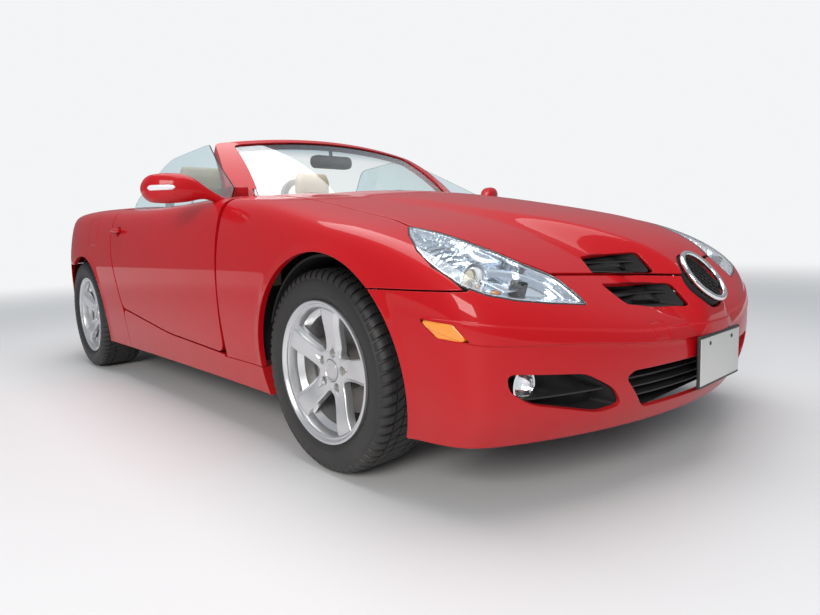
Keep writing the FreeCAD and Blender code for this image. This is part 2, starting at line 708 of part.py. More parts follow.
def build_rim(x, y):
    lip = RIM_HALF - FLANGE
    outer = [(RIM_HALF, RIM_RADIUS), (lip, RIM_RADIUS), (lip, BEAD_RADIUS), (lip - 34, BEAD_RADIUS),
             (lip - 50, WELL_RADIUS), (-lip + 50, WELL_RADIUS), (-lip + 34, BEAD_RADIUS), (-lip, BEAD_RADIUS),
             (-lip, RIM_RADIUS), (-RIM_HALF, RIM_RADIUS)]
    wall = RIM_WALL
    inner = [(-RIM_HALF, BEAD_RADIUS - wall + 2), (-lip + 34, BEAD_RADIUS - wall), (-lip + 50, WELL_RADIUS - wall),
             (lip - 50, WELL_RADIUS - wall), (lip - 34, BEAD_RADIUS - wall), (RIM_HALF, BEAD_RADIUS + 6)]
    barrel = turned(outer + inner, x, y)
    out = wheel_frame(x, y)
    centre = rod((x, out(DISC_FACE + 44), TYRE_RADIUS), (x, out(RIM_FACE - 4), TYRE_RADIUS), HUB_RADIUS)
    pieces = [barrel]
    spoke = [(40, -34, 0), (120, -36, 0), (198, -44, 0), (198, 44, 0), (120, 36, 0), (40, 34, 0)]
    for i in range(SPOKES):
        wire = outline(spoke, lambda p: V(p.y, out(RIM_FACE - 32), p.x))
        arm = Part.Face(wire).extrude(V(0, out(RIM_FACE) - out(RIM_FACE - 32), 0))
        arm.translate(V(x, 0, TYRE_RADIUS))
        arm.rotate(V(x, 0, TYRE_RADIUS), V(0, 1, 0), SPOKE_TURN + 360.0 * i / SPOKES)
        pieces.append(arm)
    return largest(centre.multiFuse(pieces).removeSplitter())


def build_disc(x, y):
    out = wheel_frame(x, y)
    back = DISC_FACE - DISC_WIDTH
    plate = ring((x, out(back), TYRE_RADIUS), (x, out(DISC_FACE), TYRE_RADIUS), DISC_RADIUS, 60)
    hat = rod((x, out(back), TYRE_RADIUS), (x, out(DISC_FACE + 44 - SEAT_GAP), TYRE_RADIUS), HUB_RADIUS - 4)
    return largest(plate.fuse(hat))


KNUCKLE_RADIUS = 135.0
KNUCKLE_HALF = 60.0
CALIPER_REACH = 170.0


def build_caliper(x, y, side_of_axle):
    out = wheel_frame(x, y)
    body_ring = ring((x, out(-68), TYRE_RADIUS), (x, out(-3), TYRE_RADIUS), CALIPER_REACH, 96)
    slot = rod((x, out(DISC_FACE - DISC_WIDTH - 5), TYRE_RADIUS), (x, out(DISC_FACE + 5), TYRE_RADIUS),
               DISC_RADIUS + 6)
    x0, x1 = sorted((x + side_of_axle * 84, x + side_of_axle * 180))
    y0, y1 = sorted((out(-68), out(0)))
    block = box(x0, x1, y0, y1, TYRE_RADIUS - 78, TYRE_RADIUS + 78)
    piece = body_ring.common(block).cut(slot)
    x0, x1 = sorted((x + side_of_axle * 30, x + side_of_axle * 120))
    y0, y1 = sorted((out(-68), out(DISC_FACE - DISC_WIDTH - 5)))
    return piece.fuse(box(x0, x1, y0, y1, TYRE_RADIUS - 40, TYRE_RADIUS + 40))


def build_knuckle(x, y):
    out = wheel_frame(x, y)
    face = DISC_FACE - DISC_WIDTH - SEAT_GAP
    column = rod((x, y, TYRE_RADIUS - 92), (x, y, TYRE_RADIUS + 92), KNUCKLE_RADIUS)
    y0, y1 = sorted((out(-140), out(face - 6)))
    block = column.common(box(x - KNUCKLE_HALF, x + KNUCKLE_HALF, y0, y1, 200, 440))
    hub = rod((x, out(-90), TYRE_RADIUS), (x, out(face), TYRE_RADIUS), 52)
    return largest(block.fuse(hub).fuse(build_caliper(x, y, -1)))


def build_front_axle():
    x, y = FRONT_AXLE, FRONT_TRACK / 2
    pieces = [box(x - 70, x + 70, -400, 400, 150, 200)]
    for side in (-1, 1):
        def span(a, b):
            return sorted((side * a, side * b))
        y0, y1 = span(395, 470)
        pieces.append(box(x - 60, x + 60, y0, y1, 150, 300 - SEAT_GAP))
        y0, y1 = span(460, 600)
        pieces.append(box(x - 45, x + 45, y0, y1, 215, 245))
        y0, y1 = span(560, 640)
        pieces.append(box(x - 45, x + 45, y0, y1, 215, 400))
        pieces.append(rod((x, side * 578, 390), (x, side * 560, 655), 22))
    axle = pieces[0].multiFuse(pieces[1:])
    for side in (-1, 1):
        centre = side * y
        axle = axle.cut(rod((x, centre, 100), (x, centre, 500), KNUCKLE_RADIUS + 0.5))
    return largest(axle)


def build_rear_axle():
    x, y = REAR_AXLE, REAR_TRACK / 2
    face = y + DISC_FACE - DISC_WIDTH - SEAT_GAP
    pieces = [box(x - 90, x + 90, -430, 430, 212, 262)]
    for side in (-1, 1):
        pieces.append(rod((x, side * 420, TYRE_RADIUS - 70), (x, side * (face - 30), TYRE_RADIUS - 40), 26))
        pieces.append(rod((x, side * (face - 70), TYRE_RADIUS), (x, side * face, TYRE_RADIUS), 70))
        pieces.append(rod((x, side * 200, TYRE_RADIUS), (x, side * (face - 60), TYRE_RADIUS), 20))
        y0, y1 = sorted((side * 380, side * 430))
        pieces.append(box(x - 90, x + 90, y0, y1, 250, REAR_FLOOR_Z - SEAT_GAP))
        pieces.append(build_caliper(x, side * y, 1))
    pieces.append(rod((x, -210, TYRE_RADIUS), (x, 210, TYRE_RADIUS), 75))
    return largest(pieces[0].multiFuse(pieces[1:]))


REAR_FLOOR_Z = 400.0
DECK_TOP = 898.0
BULKHEAD_X = -720.0
FIREWALL_X = 800.0
FIREWALL_TOP = 848.0
RAIL_Z = 300.0


def build_floor():
    pan = box(BULKHEAD_X, FIREWALL_X, -SILL_INNER, SILL_INNER, FLOOR_Z, FLOOR_Z + FLOOR)
    tunnel = box(BULKHEAD_X, FIREWALL_X, -TUNNEL_HALF, TUNNEL_HALF, FLOOR_Z, TUNNEL_TOP)
    hollow = box(BULKHEAD_X - 1, FIREWALL_X + 1, -TUNNEL_HALF + 14, TUNNEL_HALF - 14, FLOOR_Z - 1, TUNNEL_TOP - 14)
    pieces = [tunnel]
    for side in (-1, 1):
        y0, y1 = sorted((side * 690, side * SILL_INNER))
        pieces.append(box(-600, FIREWALL_X, y0, y1, FLOOR_Z, 286))
    return largest(pan.multiFuse(pieces).cut(hollow).removeSplitter())


def build_front_frame(bumper, wing):
    wall = FIREWALL_X + SEAT_GAP
    pieces = [box(wall, wall + 26, -900, 900, 300, 560), box(wall, wall + 26, -740, 740, FLOOR_Z, 700),
              box(wall, wall + 26, -600, 600, 690, FIREWALL_TOP)]
    for side in (-1, 1):
        y0, y1 = sorted((side * 400, side * 470))
        pieces.append(box(wall + 20, 1850, y0, y1, RAIL_Z, RAIL_Z + 110))
        pieces.append(box(1830, 2100, y0, y1, RAIL_Z + 60, RAIL_Z + 110))
        y0, y1 = sorted((side * 462, side * 474))
        pieces.append(box(wall + 20, 1560, y0, y1, RAIL_Z, 630))
        y0, y1 = sorted((side * 470, side * 838))
        cx, cz, radius = ARCH_FRONT
        liner = ring((cx, y0, cz), (cx, y1, cz), radius - 8, radius - 16)
        pieces.append(liner.common(box(cx - 400, cx + 400, y0, y1, 440, 760)))
    pieces.append(box(1830, 1850, -500, 500, 215, 500))
    frame = pieces[0].multiFuse(pieces[1:])
    frame = clear_of(frame, [bumper], V(-SEAT_GAP, 0, 0))
    frame = clear_of(frame, [wing], V(0, SEAT_GAP, 0))
    return clear_of(frame, [other_side(wing)], V(0, -SEAT_GAP, 0))


def build_rear_frame(bumper, quarter):
    wall = BULKHEAD_X - SEAT_GAP
    pieces = [box(wall - 22, wall, -900, 900, 330, 780), box(wall - 22, wall, -735, 735, FLOOR_Z, 880)]
    tub = box(-1880, wall - 10, -520, 520, REAR_FLOOR_Z, 600)
    tub = tub.cut(box(-1868, wall - 22, -508, 508, REAR_FLOOR_Z + 12, 700))
    pieces.append(tub)
    for side in (-1, 1):
        y0, y1 = sorted((side * 512, side * 838))
        cx, cz, radius = ARCH_REAR
        liner = ring((cx, y0, cz), (cx, y1, cz), radius - 6, radius - 14)
        pieces.append(liner.common(box(cx - 400, cx + 400, y0, y1, 420, 760)))
        y0, y1 = sorted((side * 300, side * 380))
        pieces.append(box(-2100, -1870, y0, y1, REAR_FLOOR_Z + 20, REAR_FLOOR_Z + 45))
    frame = pieces[0].multiFuse(pieces[1:])
    frame = clear_of(frame, [bumper], V(SEAT_GAP, 0, 0))
    frame = clear_of(frame, [quarter], V(0, SEAT_GAP, 0))
    return clear_of(frame, [other_side(quarter)], V(0, -SEAT_GAP, 0))


def build_rear_deck():
    deck = box(LID_FRONT + 7, BULKHEAD_X + 6, -735, 735, 880 + SEAT_GAP, DECK_TOP)
    for ear in both_sides(lid_ear(LID_AXIS, -500, 40, 882)):
        deck = deck.fuse(ear)
    return largest(deck)


def build_cowl():
    """The black tray between the bonnet and the screen, with an ear each side under the screen's legs."""
    tray = box(300, 652, -640, 640, 840, COWL_TOP).fuse(box(DOOR_FRONT + SHUT_GAP, 652, -688, 688, 840, COWL_TOP))
    tray = tray.fuse(box(640, FIREWALL_X + 26, -600, 600, FIREWALL_TOP + SEAT_GAP, FIREWALL_TOP + 5))
    below = sheet(trimmed(screen_skin(2 + SEAT_GAP), [box(-500, 1200, -598, 598, 500, 1400)]), SCREEN_NORMAL * -400)
    tray = largest(tray.cut(below).cut(box(0, 420, -700, 700, 800, COWL_TOP - 20)))
    for ear in both_sides(lid_ear(BONNET_AXIS, -560, -56, 846)):
        tray = tray.fuse(ear)
    return largest(tray)


def build_dashboard():
    side = [(250, 600, 30), (215, 700, 30), (215, 885, 30), (255, 908, 30), (405, 900, 10), (412, 834, 10),
            (600, 834, 10), (600, 600, 10)]
    dash = side_prism(side, -594, 594).cut(above_screen(FRAME_LIFT - FRAME_DEPTH - 6, 780))
    dash = dash.cut(box(290, 700, -660, 660, COWL_TOP - 20 - SEAT_GAP, 1000))
    start = STEER_CENTRE + STEER_AXIS * (26 + SEAT_GAP)
    column = Part.makeCylinder(38, 150, start, STEER_AXIS)
    return largest(dash.fuse(column))


STEER_CENTRE = V(150, 370, 790)
STEER_AXIS = V(0.927, 0, -0.375).normalize()
STEER_RADIUS = 180.0


def build_steering_wheel():
    torus = Part.makeTorus(STEER_RADIUS, 15, STEER_CENTRE, STEER_AXIS)
    boss = Part.makeCylinder(62, 44, STEER_CENTRE - STEER_AXIS * 18, STEER_AXIS)
    pieces = [boss]
    up = V(-STEER_AXIS.z, 0, STEER_AXIS.x)
    for turn in (90, 180, 270):
        t = math.radians(turn)
        way = up * math.cos(t) + V(0, 1, 0) * math.sin(t)
        arm = box(0, STEER_RADIUS, -20, 20, -7, 7)
        rotation = FreeCAD.Rotation(way, STEER_AXIS.cross(way), STEER_AXIS, "ZXY")
        arm.Placement = FreeCAD.Placement(STEER_CENTRE, rotation)
        pieces.append(arm)
    return largest(torus.multiFuse(pieces))


SEAT_Y = 372.0
SEAT_HALF = 235.0


def build_seat():
    y0, y1 = -SEAT_Y - SEAT_HALF, -SEAT_Y + SEAT_HALF
    cushion = side_prism([(-430, 235, 20), (-430, 340, 20), (70, 392, 40), (120, 350, 30), (110, 235, 20)], y0, y1)
    back = side_prism([(-340, 330, 40), (-440, 300, 30), (-520, 330, 40), (-690, 860, 30), (-650, 915, 30),
                       (-560, 890, 40), (-430, 480, 60)], y0, y1)
    head = side_prism([(-690, 960, 30), (-672, 1130, 40), (-630, 1158, 30), (-588, 1130, 30), (-592, 960, 30)],
                      -SEAT_Y - 130, -SEAT_Y + 130)
    rails = box(-380, 60, -SEAT_Y - 160, -SEAT_Y + 160, FLOOR_Z + FLOOR + SEAT_GAP, 240)
    pieces = [back, head, rails]
    for side in (-60, 60):
        pieces.append(rod((-642, -SEAT_Y + side, 880), (-640, -SEAT_Y + side, 980), 8))
    return largest(cushion.multiFuse(pieces))


def build_roll_bars():
    foot = DECK_TOP + SEAT_GAP
    outer = front_prism([(-SEAT_Y - 165, foot, 0), (-SEAT_Y - 150, 1120, 120), (-SEAT_Y + 150, 1120, 120),
                         (-SEAT_Y + 165, foot, 0)], -770, -736)
    inner = front_prism([(-SEAT_Y - 128, 900, 0), (-SEAT_Y - 116, 1086, 90), (-SEAT_Y + 116, 1086, 90),
                         (-SEAT_Y + 128, 900, 0)], -780, -730)
    return both_sides(outer.cut(inner))


def build_console():
    side = [(-640, TUNNEL_TOP + SEAT_GAP, 0), (-640, 600, 40), (-300, 600, 60), (-200, 480, 60), (120, 480, 60),
            (210, 590, 10), (250 - SEAT_GAP, 596, 0), (250, TUNNEL_TOP + SEAT_GAP, 0)]
    return side_prism(side, -100, 100)


def build_plates(bumper):
    front = clear_of(box(2030, 2046, -152, 152, 258, 410), [bumper], V(SEAT_GAP, 0, 0))
    rear = box(PLATE_BACK - 8, PLATE_BACK - SEAT_GAP, -160, 160, PLATE_TOP - PLATE_HEIGHT, PLATE_TOP)
    return [front, rear]


def build_exhaust():
    box_shape = plan_prism([(-1830, -420, 60), (-1830, 420, 60), (-1610, 420, 60), (-1610, -420, 60)],
                           206, REAR_FLOOR_Z - SEAT_GAP)
    pieces = []
    for side in (-1, 1):
        pieces.append(rod((-1800, side * 330, 215), (-1850, side * 400, 150), 24))
        pieces.append(rod((-1840, side * 400, 150), (-1985, side * 400, 150), 28))
    pieces.append(rod((-1700, 0, 178), (-760, 0, 178), 26))
    return largest(box_shape.multiFuse(pieces))


def strip(start, end, width, z0, z1):
    """A straight bar of even width between two points of the plan."""
    a, b = V(start[0], start[1], 0), V(end[0], end[1], 0)
    side = V(0, 0, 1).cross(b - a).normalize() * (width / 2)
    corners = [a + side, b + side, b - side, a - side]
    return plan_prism([(p.x, p.y, 0) for p in corners], z0, z1)


WIPERS = [((620, 420), (588, 440), (586, -170)), ((620, -120), (588, -130), (560, -560))]


def build_wipers():
    """Each wiper is a pivot on the cowl, an arm and a blade that lies along the screen's foot."""
    wipers = []
    for pivot, near, far in WIPERS:
        middle = (0.5 * (near[0] + far[0]), 0.5 * (near[1] + far[1]))
        post = rod((*pivot, COWL_TOP + SEAT_GAP), (*pivot, 897), 14)
        arm = strip(pivot, middle, 12, 888, 895)
        blade = strip(near, far, 9, 884, 892)
        wipers.append(largest(post.multiFuse([arm, blade])))
    return wipers


def build_inner_mirror(frame, glazing):
    glass = front_prism([(-120, 1078, 28), (-120, 1140, 28), (120, 1140, 28), (120, 1078, 28)], 96, 128)
    stalk = rod((112, 0, 1130), (96, 0, 1230), 9)
    return clear_of(glass.fuse(stalk), [frame, glazing], SCREEN_NORMAL * -SEAT_GAP)


def build_fog_lamp(bumper):
    lamp = rod((1770, -690, 345), (1836, -690, 345), 44)
    bracket = box(1780, 1794, -700, -680, 345, 450).fuse(box(1780, 2000, -700, -680, 436, 450))
    return clear_of(lamp.fuse(bracket), [bumper], V(-SEAT_GAP, 0, 0))


def build_engine():
    return side_prism([(900, 200 + SEAT_GAP, 0), (900, 600, 40), (980, 660, 40), (1480, 640, 40), (1500, 300, 40),
                       (1480, 200 + SEAT_GAP, 0)], -280, 280)


def build_handle():
    return rod((-597, -868, 796), (-597, -850, 796), 30)


os.makedirs("parts", exist_ok=True)
WHEELS = [("front_right", FRONT_AXLE, -FRONT_TRACK / 2, FRONT_TYRE_WIDTH),
          ("front_left", FRONT_AXLE, FRONT_TRACK / 2, FRONT_TYRE_WIDTH),
          ("rear_right", REAR_AXLE, -REAR_TRACK / 2, REAR_TYRE_WIDTH),
          ("rear_left", REAR_AXLE, REAR_TRACK / 2, REAR_TYRE_WIDTH)]
for name, x, y, width in WHEELS:
    save("tyre_" + name, build_tyre(x, y, width))
    save("rim_" + name, build_rim(x, y))
    save("brake_disc_" + name, build_disc(x, y))
save_pair("knuckle", build_knuckle(FRONT_AXLE, -FRONT_TRACK / 2))
save("front_axle", build_front_axle())
save("rear_axle", build_rear_axle())
save("floor", build_floor())
save("engine", build_engine())
save("exhaust", build_exhaust())
bumper = build_front_bumper()
rear_bumper = build_rear_bumper()
wing = build_wing()
quarter = build_quarter()
save("front_frame", build_front_frame(bumper, wing))
save("rear_frame", build_rear_frame(rear_bumper, quarter))
save("bonnet", build_bonnet())
save("front_bumper", bumper)
save("nose_ring", build_nose_ring())
save_pair("wing", wing)
door = build_door()
save_pair("door", door)
save_pair("side_glass", side_glass(0))
save_pair("mirror", build_mirror(door, side_glass(0)))
save_pair("quarter", quarter)
save_pair("sill", build_sill())
save("boot_lid", build_boot_lid())
save("rear_bumper", rear_bumper)
save("headlamps", both_sides(build_lamp()))
save("tail_lamps", both_sides(build_tail_lamp()))
save("marker_lamps", both_sides(build_marker_lamp()))
save("fog_lamps", both_sides(build_fog_lamp(bumper)))
save("plates", build_plates(bumper))
screen_frame = build_screen_frame()
save("screen_frame", screen_frame)
windscreen = build_screen()
save("windscreen", windscreen)
save("inner_mirror", build_inner_mirror(screen_frame, windscreen))
save("cowl", build_cowl())
save("wipers", build_wipers())
save("dashboard", build_dashboard())
save("console", build_console())
save("steering_wheel", build_steering_wheel())
save_pair("seat", build_seat())
save("roll_bars", build_roll_bars())
save("rear_deck", build_rear_deck())
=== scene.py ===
# %% [markdown]
# An open two-seat convertible stands on a pale studio floor with its roof lowered and its side glass raised.
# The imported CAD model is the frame: every piece below rides on one of its bodies, in metres,
# with +X towards the nose, +Y to the car's left and +Z up.

# %% The frame
import math
import bpy
import bmesh
import numpy as np
from mathutils import Matrix, Vector
from mathutils.geometry import delaunay_2d_cdt


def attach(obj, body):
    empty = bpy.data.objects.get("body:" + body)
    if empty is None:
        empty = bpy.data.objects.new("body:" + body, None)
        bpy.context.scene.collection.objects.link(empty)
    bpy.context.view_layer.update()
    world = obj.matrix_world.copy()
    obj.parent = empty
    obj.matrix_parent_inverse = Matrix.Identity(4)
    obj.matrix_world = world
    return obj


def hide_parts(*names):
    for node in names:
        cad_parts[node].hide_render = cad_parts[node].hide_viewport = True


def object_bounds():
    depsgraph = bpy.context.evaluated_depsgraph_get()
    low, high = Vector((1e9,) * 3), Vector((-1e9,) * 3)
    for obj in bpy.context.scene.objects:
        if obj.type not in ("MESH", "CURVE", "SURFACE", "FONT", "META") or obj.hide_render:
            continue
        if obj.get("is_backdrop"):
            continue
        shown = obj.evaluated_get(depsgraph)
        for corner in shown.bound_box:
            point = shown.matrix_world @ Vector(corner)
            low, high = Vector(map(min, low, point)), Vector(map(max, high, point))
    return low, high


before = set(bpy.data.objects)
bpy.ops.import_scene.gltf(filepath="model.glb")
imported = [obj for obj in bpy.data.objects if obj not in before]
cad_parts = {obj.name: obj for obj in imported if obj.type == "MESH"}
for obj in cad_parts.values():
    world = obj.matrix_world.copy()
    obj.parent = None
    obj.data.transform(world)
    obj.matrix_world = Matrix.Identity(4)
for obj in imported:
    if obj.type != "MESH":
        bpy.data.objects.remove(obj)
cad_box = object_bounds()
scene = bpy.context.scene
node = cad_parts
print("nodes", len(node), "box", [round(c, 3) for c in (*cad_box[0], *cad_box[1])])

# %% [markdown]
# The photograph was taken close to the right front wing with a wide lens, a little above the bonnet's height.
# The camera's place and angles were solved from the two wheels and the car's symmetric features,
# so the render lines up with the photograph piece by piece.

# %% The camera
IMAGE_WIDTH = 820
FOCAL_PIXELS = 595.8
SENSOR = 36.0
CAMERA_PLACE = Vector((2.704, -1.857, 0.721))
YAW, PITCH, ROLL = (math.radians(a) for a in (137.49, -6.89, -1.97))


def camera_matrix():
    ahead = Vector((math.cos(YAW) * math.cos(PITCH), math.sin(YAW) * math.cos(PITCH), math.sin(PITCH)))
    right = Vector((math.sin(YAW), -math.cos(YAW), 0))
    up = right.cross(ahead)
    right_rolled = right * math.cos(ROLL) + up * math.sin(ROLL)
    up_rolled = up * math.cos(ROLL) - right * math.sin(ROLL)
    matrix = Matrix((right_rolled, up_rolled, -ahead)).transposed().to_4x4()
    matrix.translation = CAMERA_PLACE
    return matrix


camera_data = bpy.data.cameras.new("camera")
camera = bpy.data.objects.new("camera", camera_data)
scene.collection.objects.link(camera)
camera_data.sensor_width = SENSOR
camera_data.lens = FOCAL_PIXELS / IMAGE_WIDTH * SENSOR
camera_data.clip_end = 200
camera.matrix_world = camera_matrix()
scene.camera = camera
print("lens", round(camera_data.lens, 2), "mm")

# %% [markdown]
# The studio is a wide pale floor that fades into the same pale tone as the world, so no horizon cuts the
# picture. Soft light comes from everywhere, with a large overhead panel and a warmer one from the right
# front, which give the paint its long soft highlights.

# %% Floor, world and lights
BACKDROP = (0.90, 0.91, 0.92, 1)
FLOOR_TONE = (0.74, 0.74, 0.745, 1)
FLOOR_REACH = 60.0
FADE_START, FADE_END = 3.2, 11.0
SKY_STRENGTH = 0.42
SKY = [(0.46, (0.42, 0.43, 0.45, 1)), (0.75, (0.86, 0.92, 1.0, 1))]


def feed(tree, target, inputs):
    """Fills a node's inputs, each with a plain value or with a link from another node's output."""
    for name, value in inputs.items():
        if isinstance(value, bpy.types.NodeSocket):
            tree.links.new(value, target.inputs[name])
        else:
            target.inputs[name].default_value = value


def add_node(tree, kind, inputs=None, **settings):
    made = tree.nodes.new(kind)
    for name, value in settings.items():
        setattr(made, name, value)
    feed(tree, made, inputs or {})
    return made


def new_material(name):
    material = bpy.data.materials.new(name)
    material.use_nodes = True
    tree = material.node_tree
    return material, tree, tree.nodes["Principled BSDF"]


def floor_material():
    """A pale floor that turns into the backdrop's own tone with distance."""
    material, tree, principled = new_material("studio_floor")
    feed(tree, principled, {"Base Color": FLOOR_TONE, "Roughness": 0.55})
    place = add_node(tree, "ShaderNodeNewGeometry").outputs["Position"]
    distance = add_node(tree, "ShaderNodeVectorMath", {0: place}, operation="LENGTH").outputs["Value"]
    reach = {"Value": distance, "From Min": FADE_START, "From Max": FADE_END}
    fade = add_node(tree, "ShaderNodeMapRange", reach, interpolation_type="SMOOTHSTEP").outputs["Result"]
    glow = add_node(tree, "ShaderNodeEmission", {"Color": BACKDROP}).outputs["Emission"]
    mix = add_node(tree, "ShaderNodeMixShader", {"Fac": fade, 1: principled.outputs["BSDF"], 2: glow})
    feed(tree, tree.nodes["Material Output"], {"Surface": mix.outputs["Shader"]})
    return material


def make_floor():
    mesh = bpy.data.meshes.new("floor")
    turn = np.linspace(0, 2 * math.pi, 65)[:-1]
    corners = [(FLOOR_REACH * math.cos(a), FLOOR_REACH * math.sin(a), 0) for a in turn]
    mesh.from_pydata(corners, [], [list(range(len(corners)))])
    floor = bpy.data.objects.new("floor", mesh)
    scene.collection.objects.link(floor)
    mesh.materials.append(floor_material())
    floor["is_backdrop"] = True


def make_world():
    """A soft sky for light and reflections; the camera and clear glass see the plain backdrop instead."""
    world = bpy.data.worlds.new("studio")
    world.use_nodes = True
    tree = world.node_tree
    where = add_node(tree, "ShaderNodeTexCoord").outputs["Generated"]
    height = add_node(tree, "ShaderNodeSeparateXYZ", {"Vector": where}).outputs["Z"]
    shift = add_node(tree, "ShaderNodeMapRange", {"Value": height, "From Min": -1}).outputs["Result"]
    ramp = add_node(tree, "ShaderNodeValToRGB", {"Fac": shift})
    for element, (position, colour) in zip(ramp.color_ramp.elements, SKY):
        element.position = position
        element.color = colour
    sky = tree.nodes["Background"]
    feed(tree, sky, {"Color": ramp.outputs["Color"], "Strength": SKY_STRENGTH})
    seen = add_node(tree, "ShaderNodeBackground", {"Color": BACKDROP, "Strength": 1.0})
    rays = add_node(tree, "ShaderNodeLightPath").outputs
    either = add_node(tree, "ShaderNodeMath", {0: rays["Is Camera Ray"], 1: rays["Is Transmission Ray"]},
                      operation="MAXIMUM").outputs["Value"]
    mix = add_node(tree, "ShaderNodeMixShader",
                   {"Fac": either, 1: sky.outputs["Background"], 2: seen.outputs["Background"]})
    feed(tree, tree.nodes["World Output"], {"Surface": mix.outputs["Shader"]})
    scene.world = world


def area_light(name, place, target, size, power, colour):
    data = bpy.data.lights.new(name, "AREA")
    data.shape = "RECTANGLE"
    data.size, data.size_y = size
    data.energy = power
    data.color = colour
    light = bpy.data.objects.new(name, data)
    scene.collection.objects.link(light)
    light.location = place
    light.rotation_mode = "QUATERNION"
    light.rotation_quaternion = (Vector(target) - Vector(place)).to_track_quat("-Z", "Y")


make_floor()
make_world()
area_light("overhead", (0.0, 0.0, 5.5), (0, 0, 0), (7.0, 4.0), 260, (1.0, 1.0, 1.0))
area_light("right_front", (4.5, -6.0, 3.6), (0.6, -0.5, 0.5), (4.0, 2.5), 330, (1.0, 0.97, 0.92))
scene.view_settings.view_transform = "Standard"
print("backdrop", BACKDROP[:3], "floor", FLOOR_TONE[:3])

# %% [markdown]
# Several finishes share the same small effects, so each effect is one node group: fine grain for moulded
# and cast pieces, and the thin film of road dust that gathers low on a car. The groups put out only
# heights and masks.

# %% Shared effects
def group_of(name, inputs, output):
    """A node group with float inputs, their defaults and one float output."""
    tree = bpy.data.node_groups.new(name, "ShaderNodeTree")
    for label, default in inputs.items():
        socket = tree.interface.new_socket(label, in_out="INPUT", socket_type="NodeSocketFloat")
        socket.default_value = default
    tree.interface.new_socket(output, in_out="OUTPUT", socket_type="NodeSocketFloat")
    return tree, tree.nodes.new("NodeGroupInput").outputs, tree.nodes.new("NodeGroupOutput")


def make_grain_group():
    """Height of fine grain, with a slower ripple under it."""
    tree, entry, leave = group_of("fine_grain", {"Scale": 400.0, "Ripple": 0.3}, "Height")
    where = add_node(tree, "ShaderNodeTexCoord").outputs["Object"]
    fine = add_node(tree, "ShaderNodeTexNoise", {"Vector": where, "Scale": entry["Scale"], "Detail": 3})
    slow = add_node(tree, "ShaderNodeTexNoise", {"Vector": where, "Scale": 18})
    both_grains = {"Factor": entry["Ripple"], "A": fine.outputs["Fac"], "B": slow.outputs["Fac"]}
    mix = add_node(tree, "ShaderNodeMix", both_grains, data_type="FLOAT")
    feed(tree, leave, {"Height": mix.outputs["Result"]})
    return tree


def make_dust_group():
    """A mask of road dust: strong near the ground, gone at knee height, broken up by noise."""
    tree, entry, leave = group_of("road_dust", {"Top": 0.5, "Amount": 0.3}, "Mask")
    where = add_node(tree, "ShaderNodeNewGeometry").outputs["Position"]
    height = add_node(tree, "ShaderNodeSeparateXYZ", {"Vector": where}).outputs["Z"]
    fall = {"Value": height, "From Max": entry["Top"], "To Min": 1, "To Max": 0}
    near = add_node(tree, "ShaderNodeMapRange", fall, interpolation_type="SMOOTHSTEP").outputs["Result"]
    noise = add_node(tree, "ShaderNodeTexNoise", {"Vector": where, "Scale": 9, "Detail": 6}).outputs["Fac"]
    product = add_node(tree, "ShaderNodeMath", {0: near, 1: noise}, operation="MULTIPLY").outputs["Value"]
    amount = add_node(tree, "ShaderNodeMath", {0: product, 1: entry["Amount"]}, operation="MULTIPLY",
                      use_clamp=True)
    feed(tree, leave, {"Mask": amount.outputs["Value"]})
    return tree


GRAIN = make_grain_group()
DUST = make_dust_group()
DUST_TONE = (0.33, 0.30, 0.27, 1)


def finish(name, colour, roughness, metallic=0.0, coat=0.0, grain=0.0, grain_scale=400.0, ripple=0.3,
           dust=0.0, dust_top=0.5, mottle=0.0):
    """A solid finish: its own colour and gloss, with grain, unevenness of tone and road dust as wanted."""
    material, tree, principled = new_material(name)
    feed(tree, principled, {"Roughness": roughness, "Metallic": metallic})
    feed(tree, principled, {"Coat Weight": coat, "Coat Roughness": 0.03})
    where = add_node(tree, "ShaderNodeNewGeometry").outputs["Position"]
    cloud = add_node(tree, "ShaderNodeTexNoise", {"Vector": where, "Scale": 5, "Detail": 4}).outputs["Fac"]
    dark, light = ((*[min(1, c * share) for c in colour], 1) for share in (1 - mottle, 1 + mottle))
    tone = add_node(tree, "ShaderNodeMix", {"Factor": cloud, "A": dark, "B": light}, data_type="RGBA")
    if dust:
        film = add_node(tree, "ShaderNodeGroup", {"Top": dust_top, "Amount": dust}, node_tree=DUST)
        film = film.outputs["Mask"]
        tone = add_node(tree, "ShaderNodeMix", {"Factor": film, "A": tone.outputs["Result"], "B": DUST_TONE},
                        data_type="RGBA")
    feed(tree, principled, {"Base Color": tone.outputs["Result"]})
    if grain:
        texture = add_node(tree, "ShaderNodeGroup", {"Scale": grain_scale, "Ripple": ripple}, node_tree=GRAIN)
        bump = add_node(tree, "ShaderNodeBump",
                        {"Height": texture.outputs["Height"], "Strength": grain, "Distance": 0.001})
        feed(tree, principled, {"Normal": bump.outputs["Normal"]})
    return material


def glass(name, tint, shade=None):
    """Clear glass; shade is an optional band above a height: its tone, where it starts and is full."""
    material, tree, principled = new_material(name)
    feed(tree, principled, {"Base Color": (*tint, 1), "Roughness": 0.0})
    feed(tree, principled, {"IOR": 1.45, "Transmission Weight": 1.0})
    if shade:
        tone, low, high = shade
        where = add_node(tree, "ShaderNodeNewGeometry").outputs["Position"]
        height = add_node(tree, "ShaderNodeSeparateXYZ", {"Vector": where}).outputs["Z"]
        band = add_node(tree, "ShaderNodeMapRange", {"Value": height, "From Min": low, "From Max": high})
        mix = add_node(tree, "ShaderNodeMix",
                       {"Factor": band.outputs["Result"], "A": (*tint, 1), "B": (*tone, 1)}, data_type="RGBA")
        feed(tree, principled, {"Base Color": mix.outputs["Result"]})
    return material


print("shared effects", len(bpy.data.node_groups))

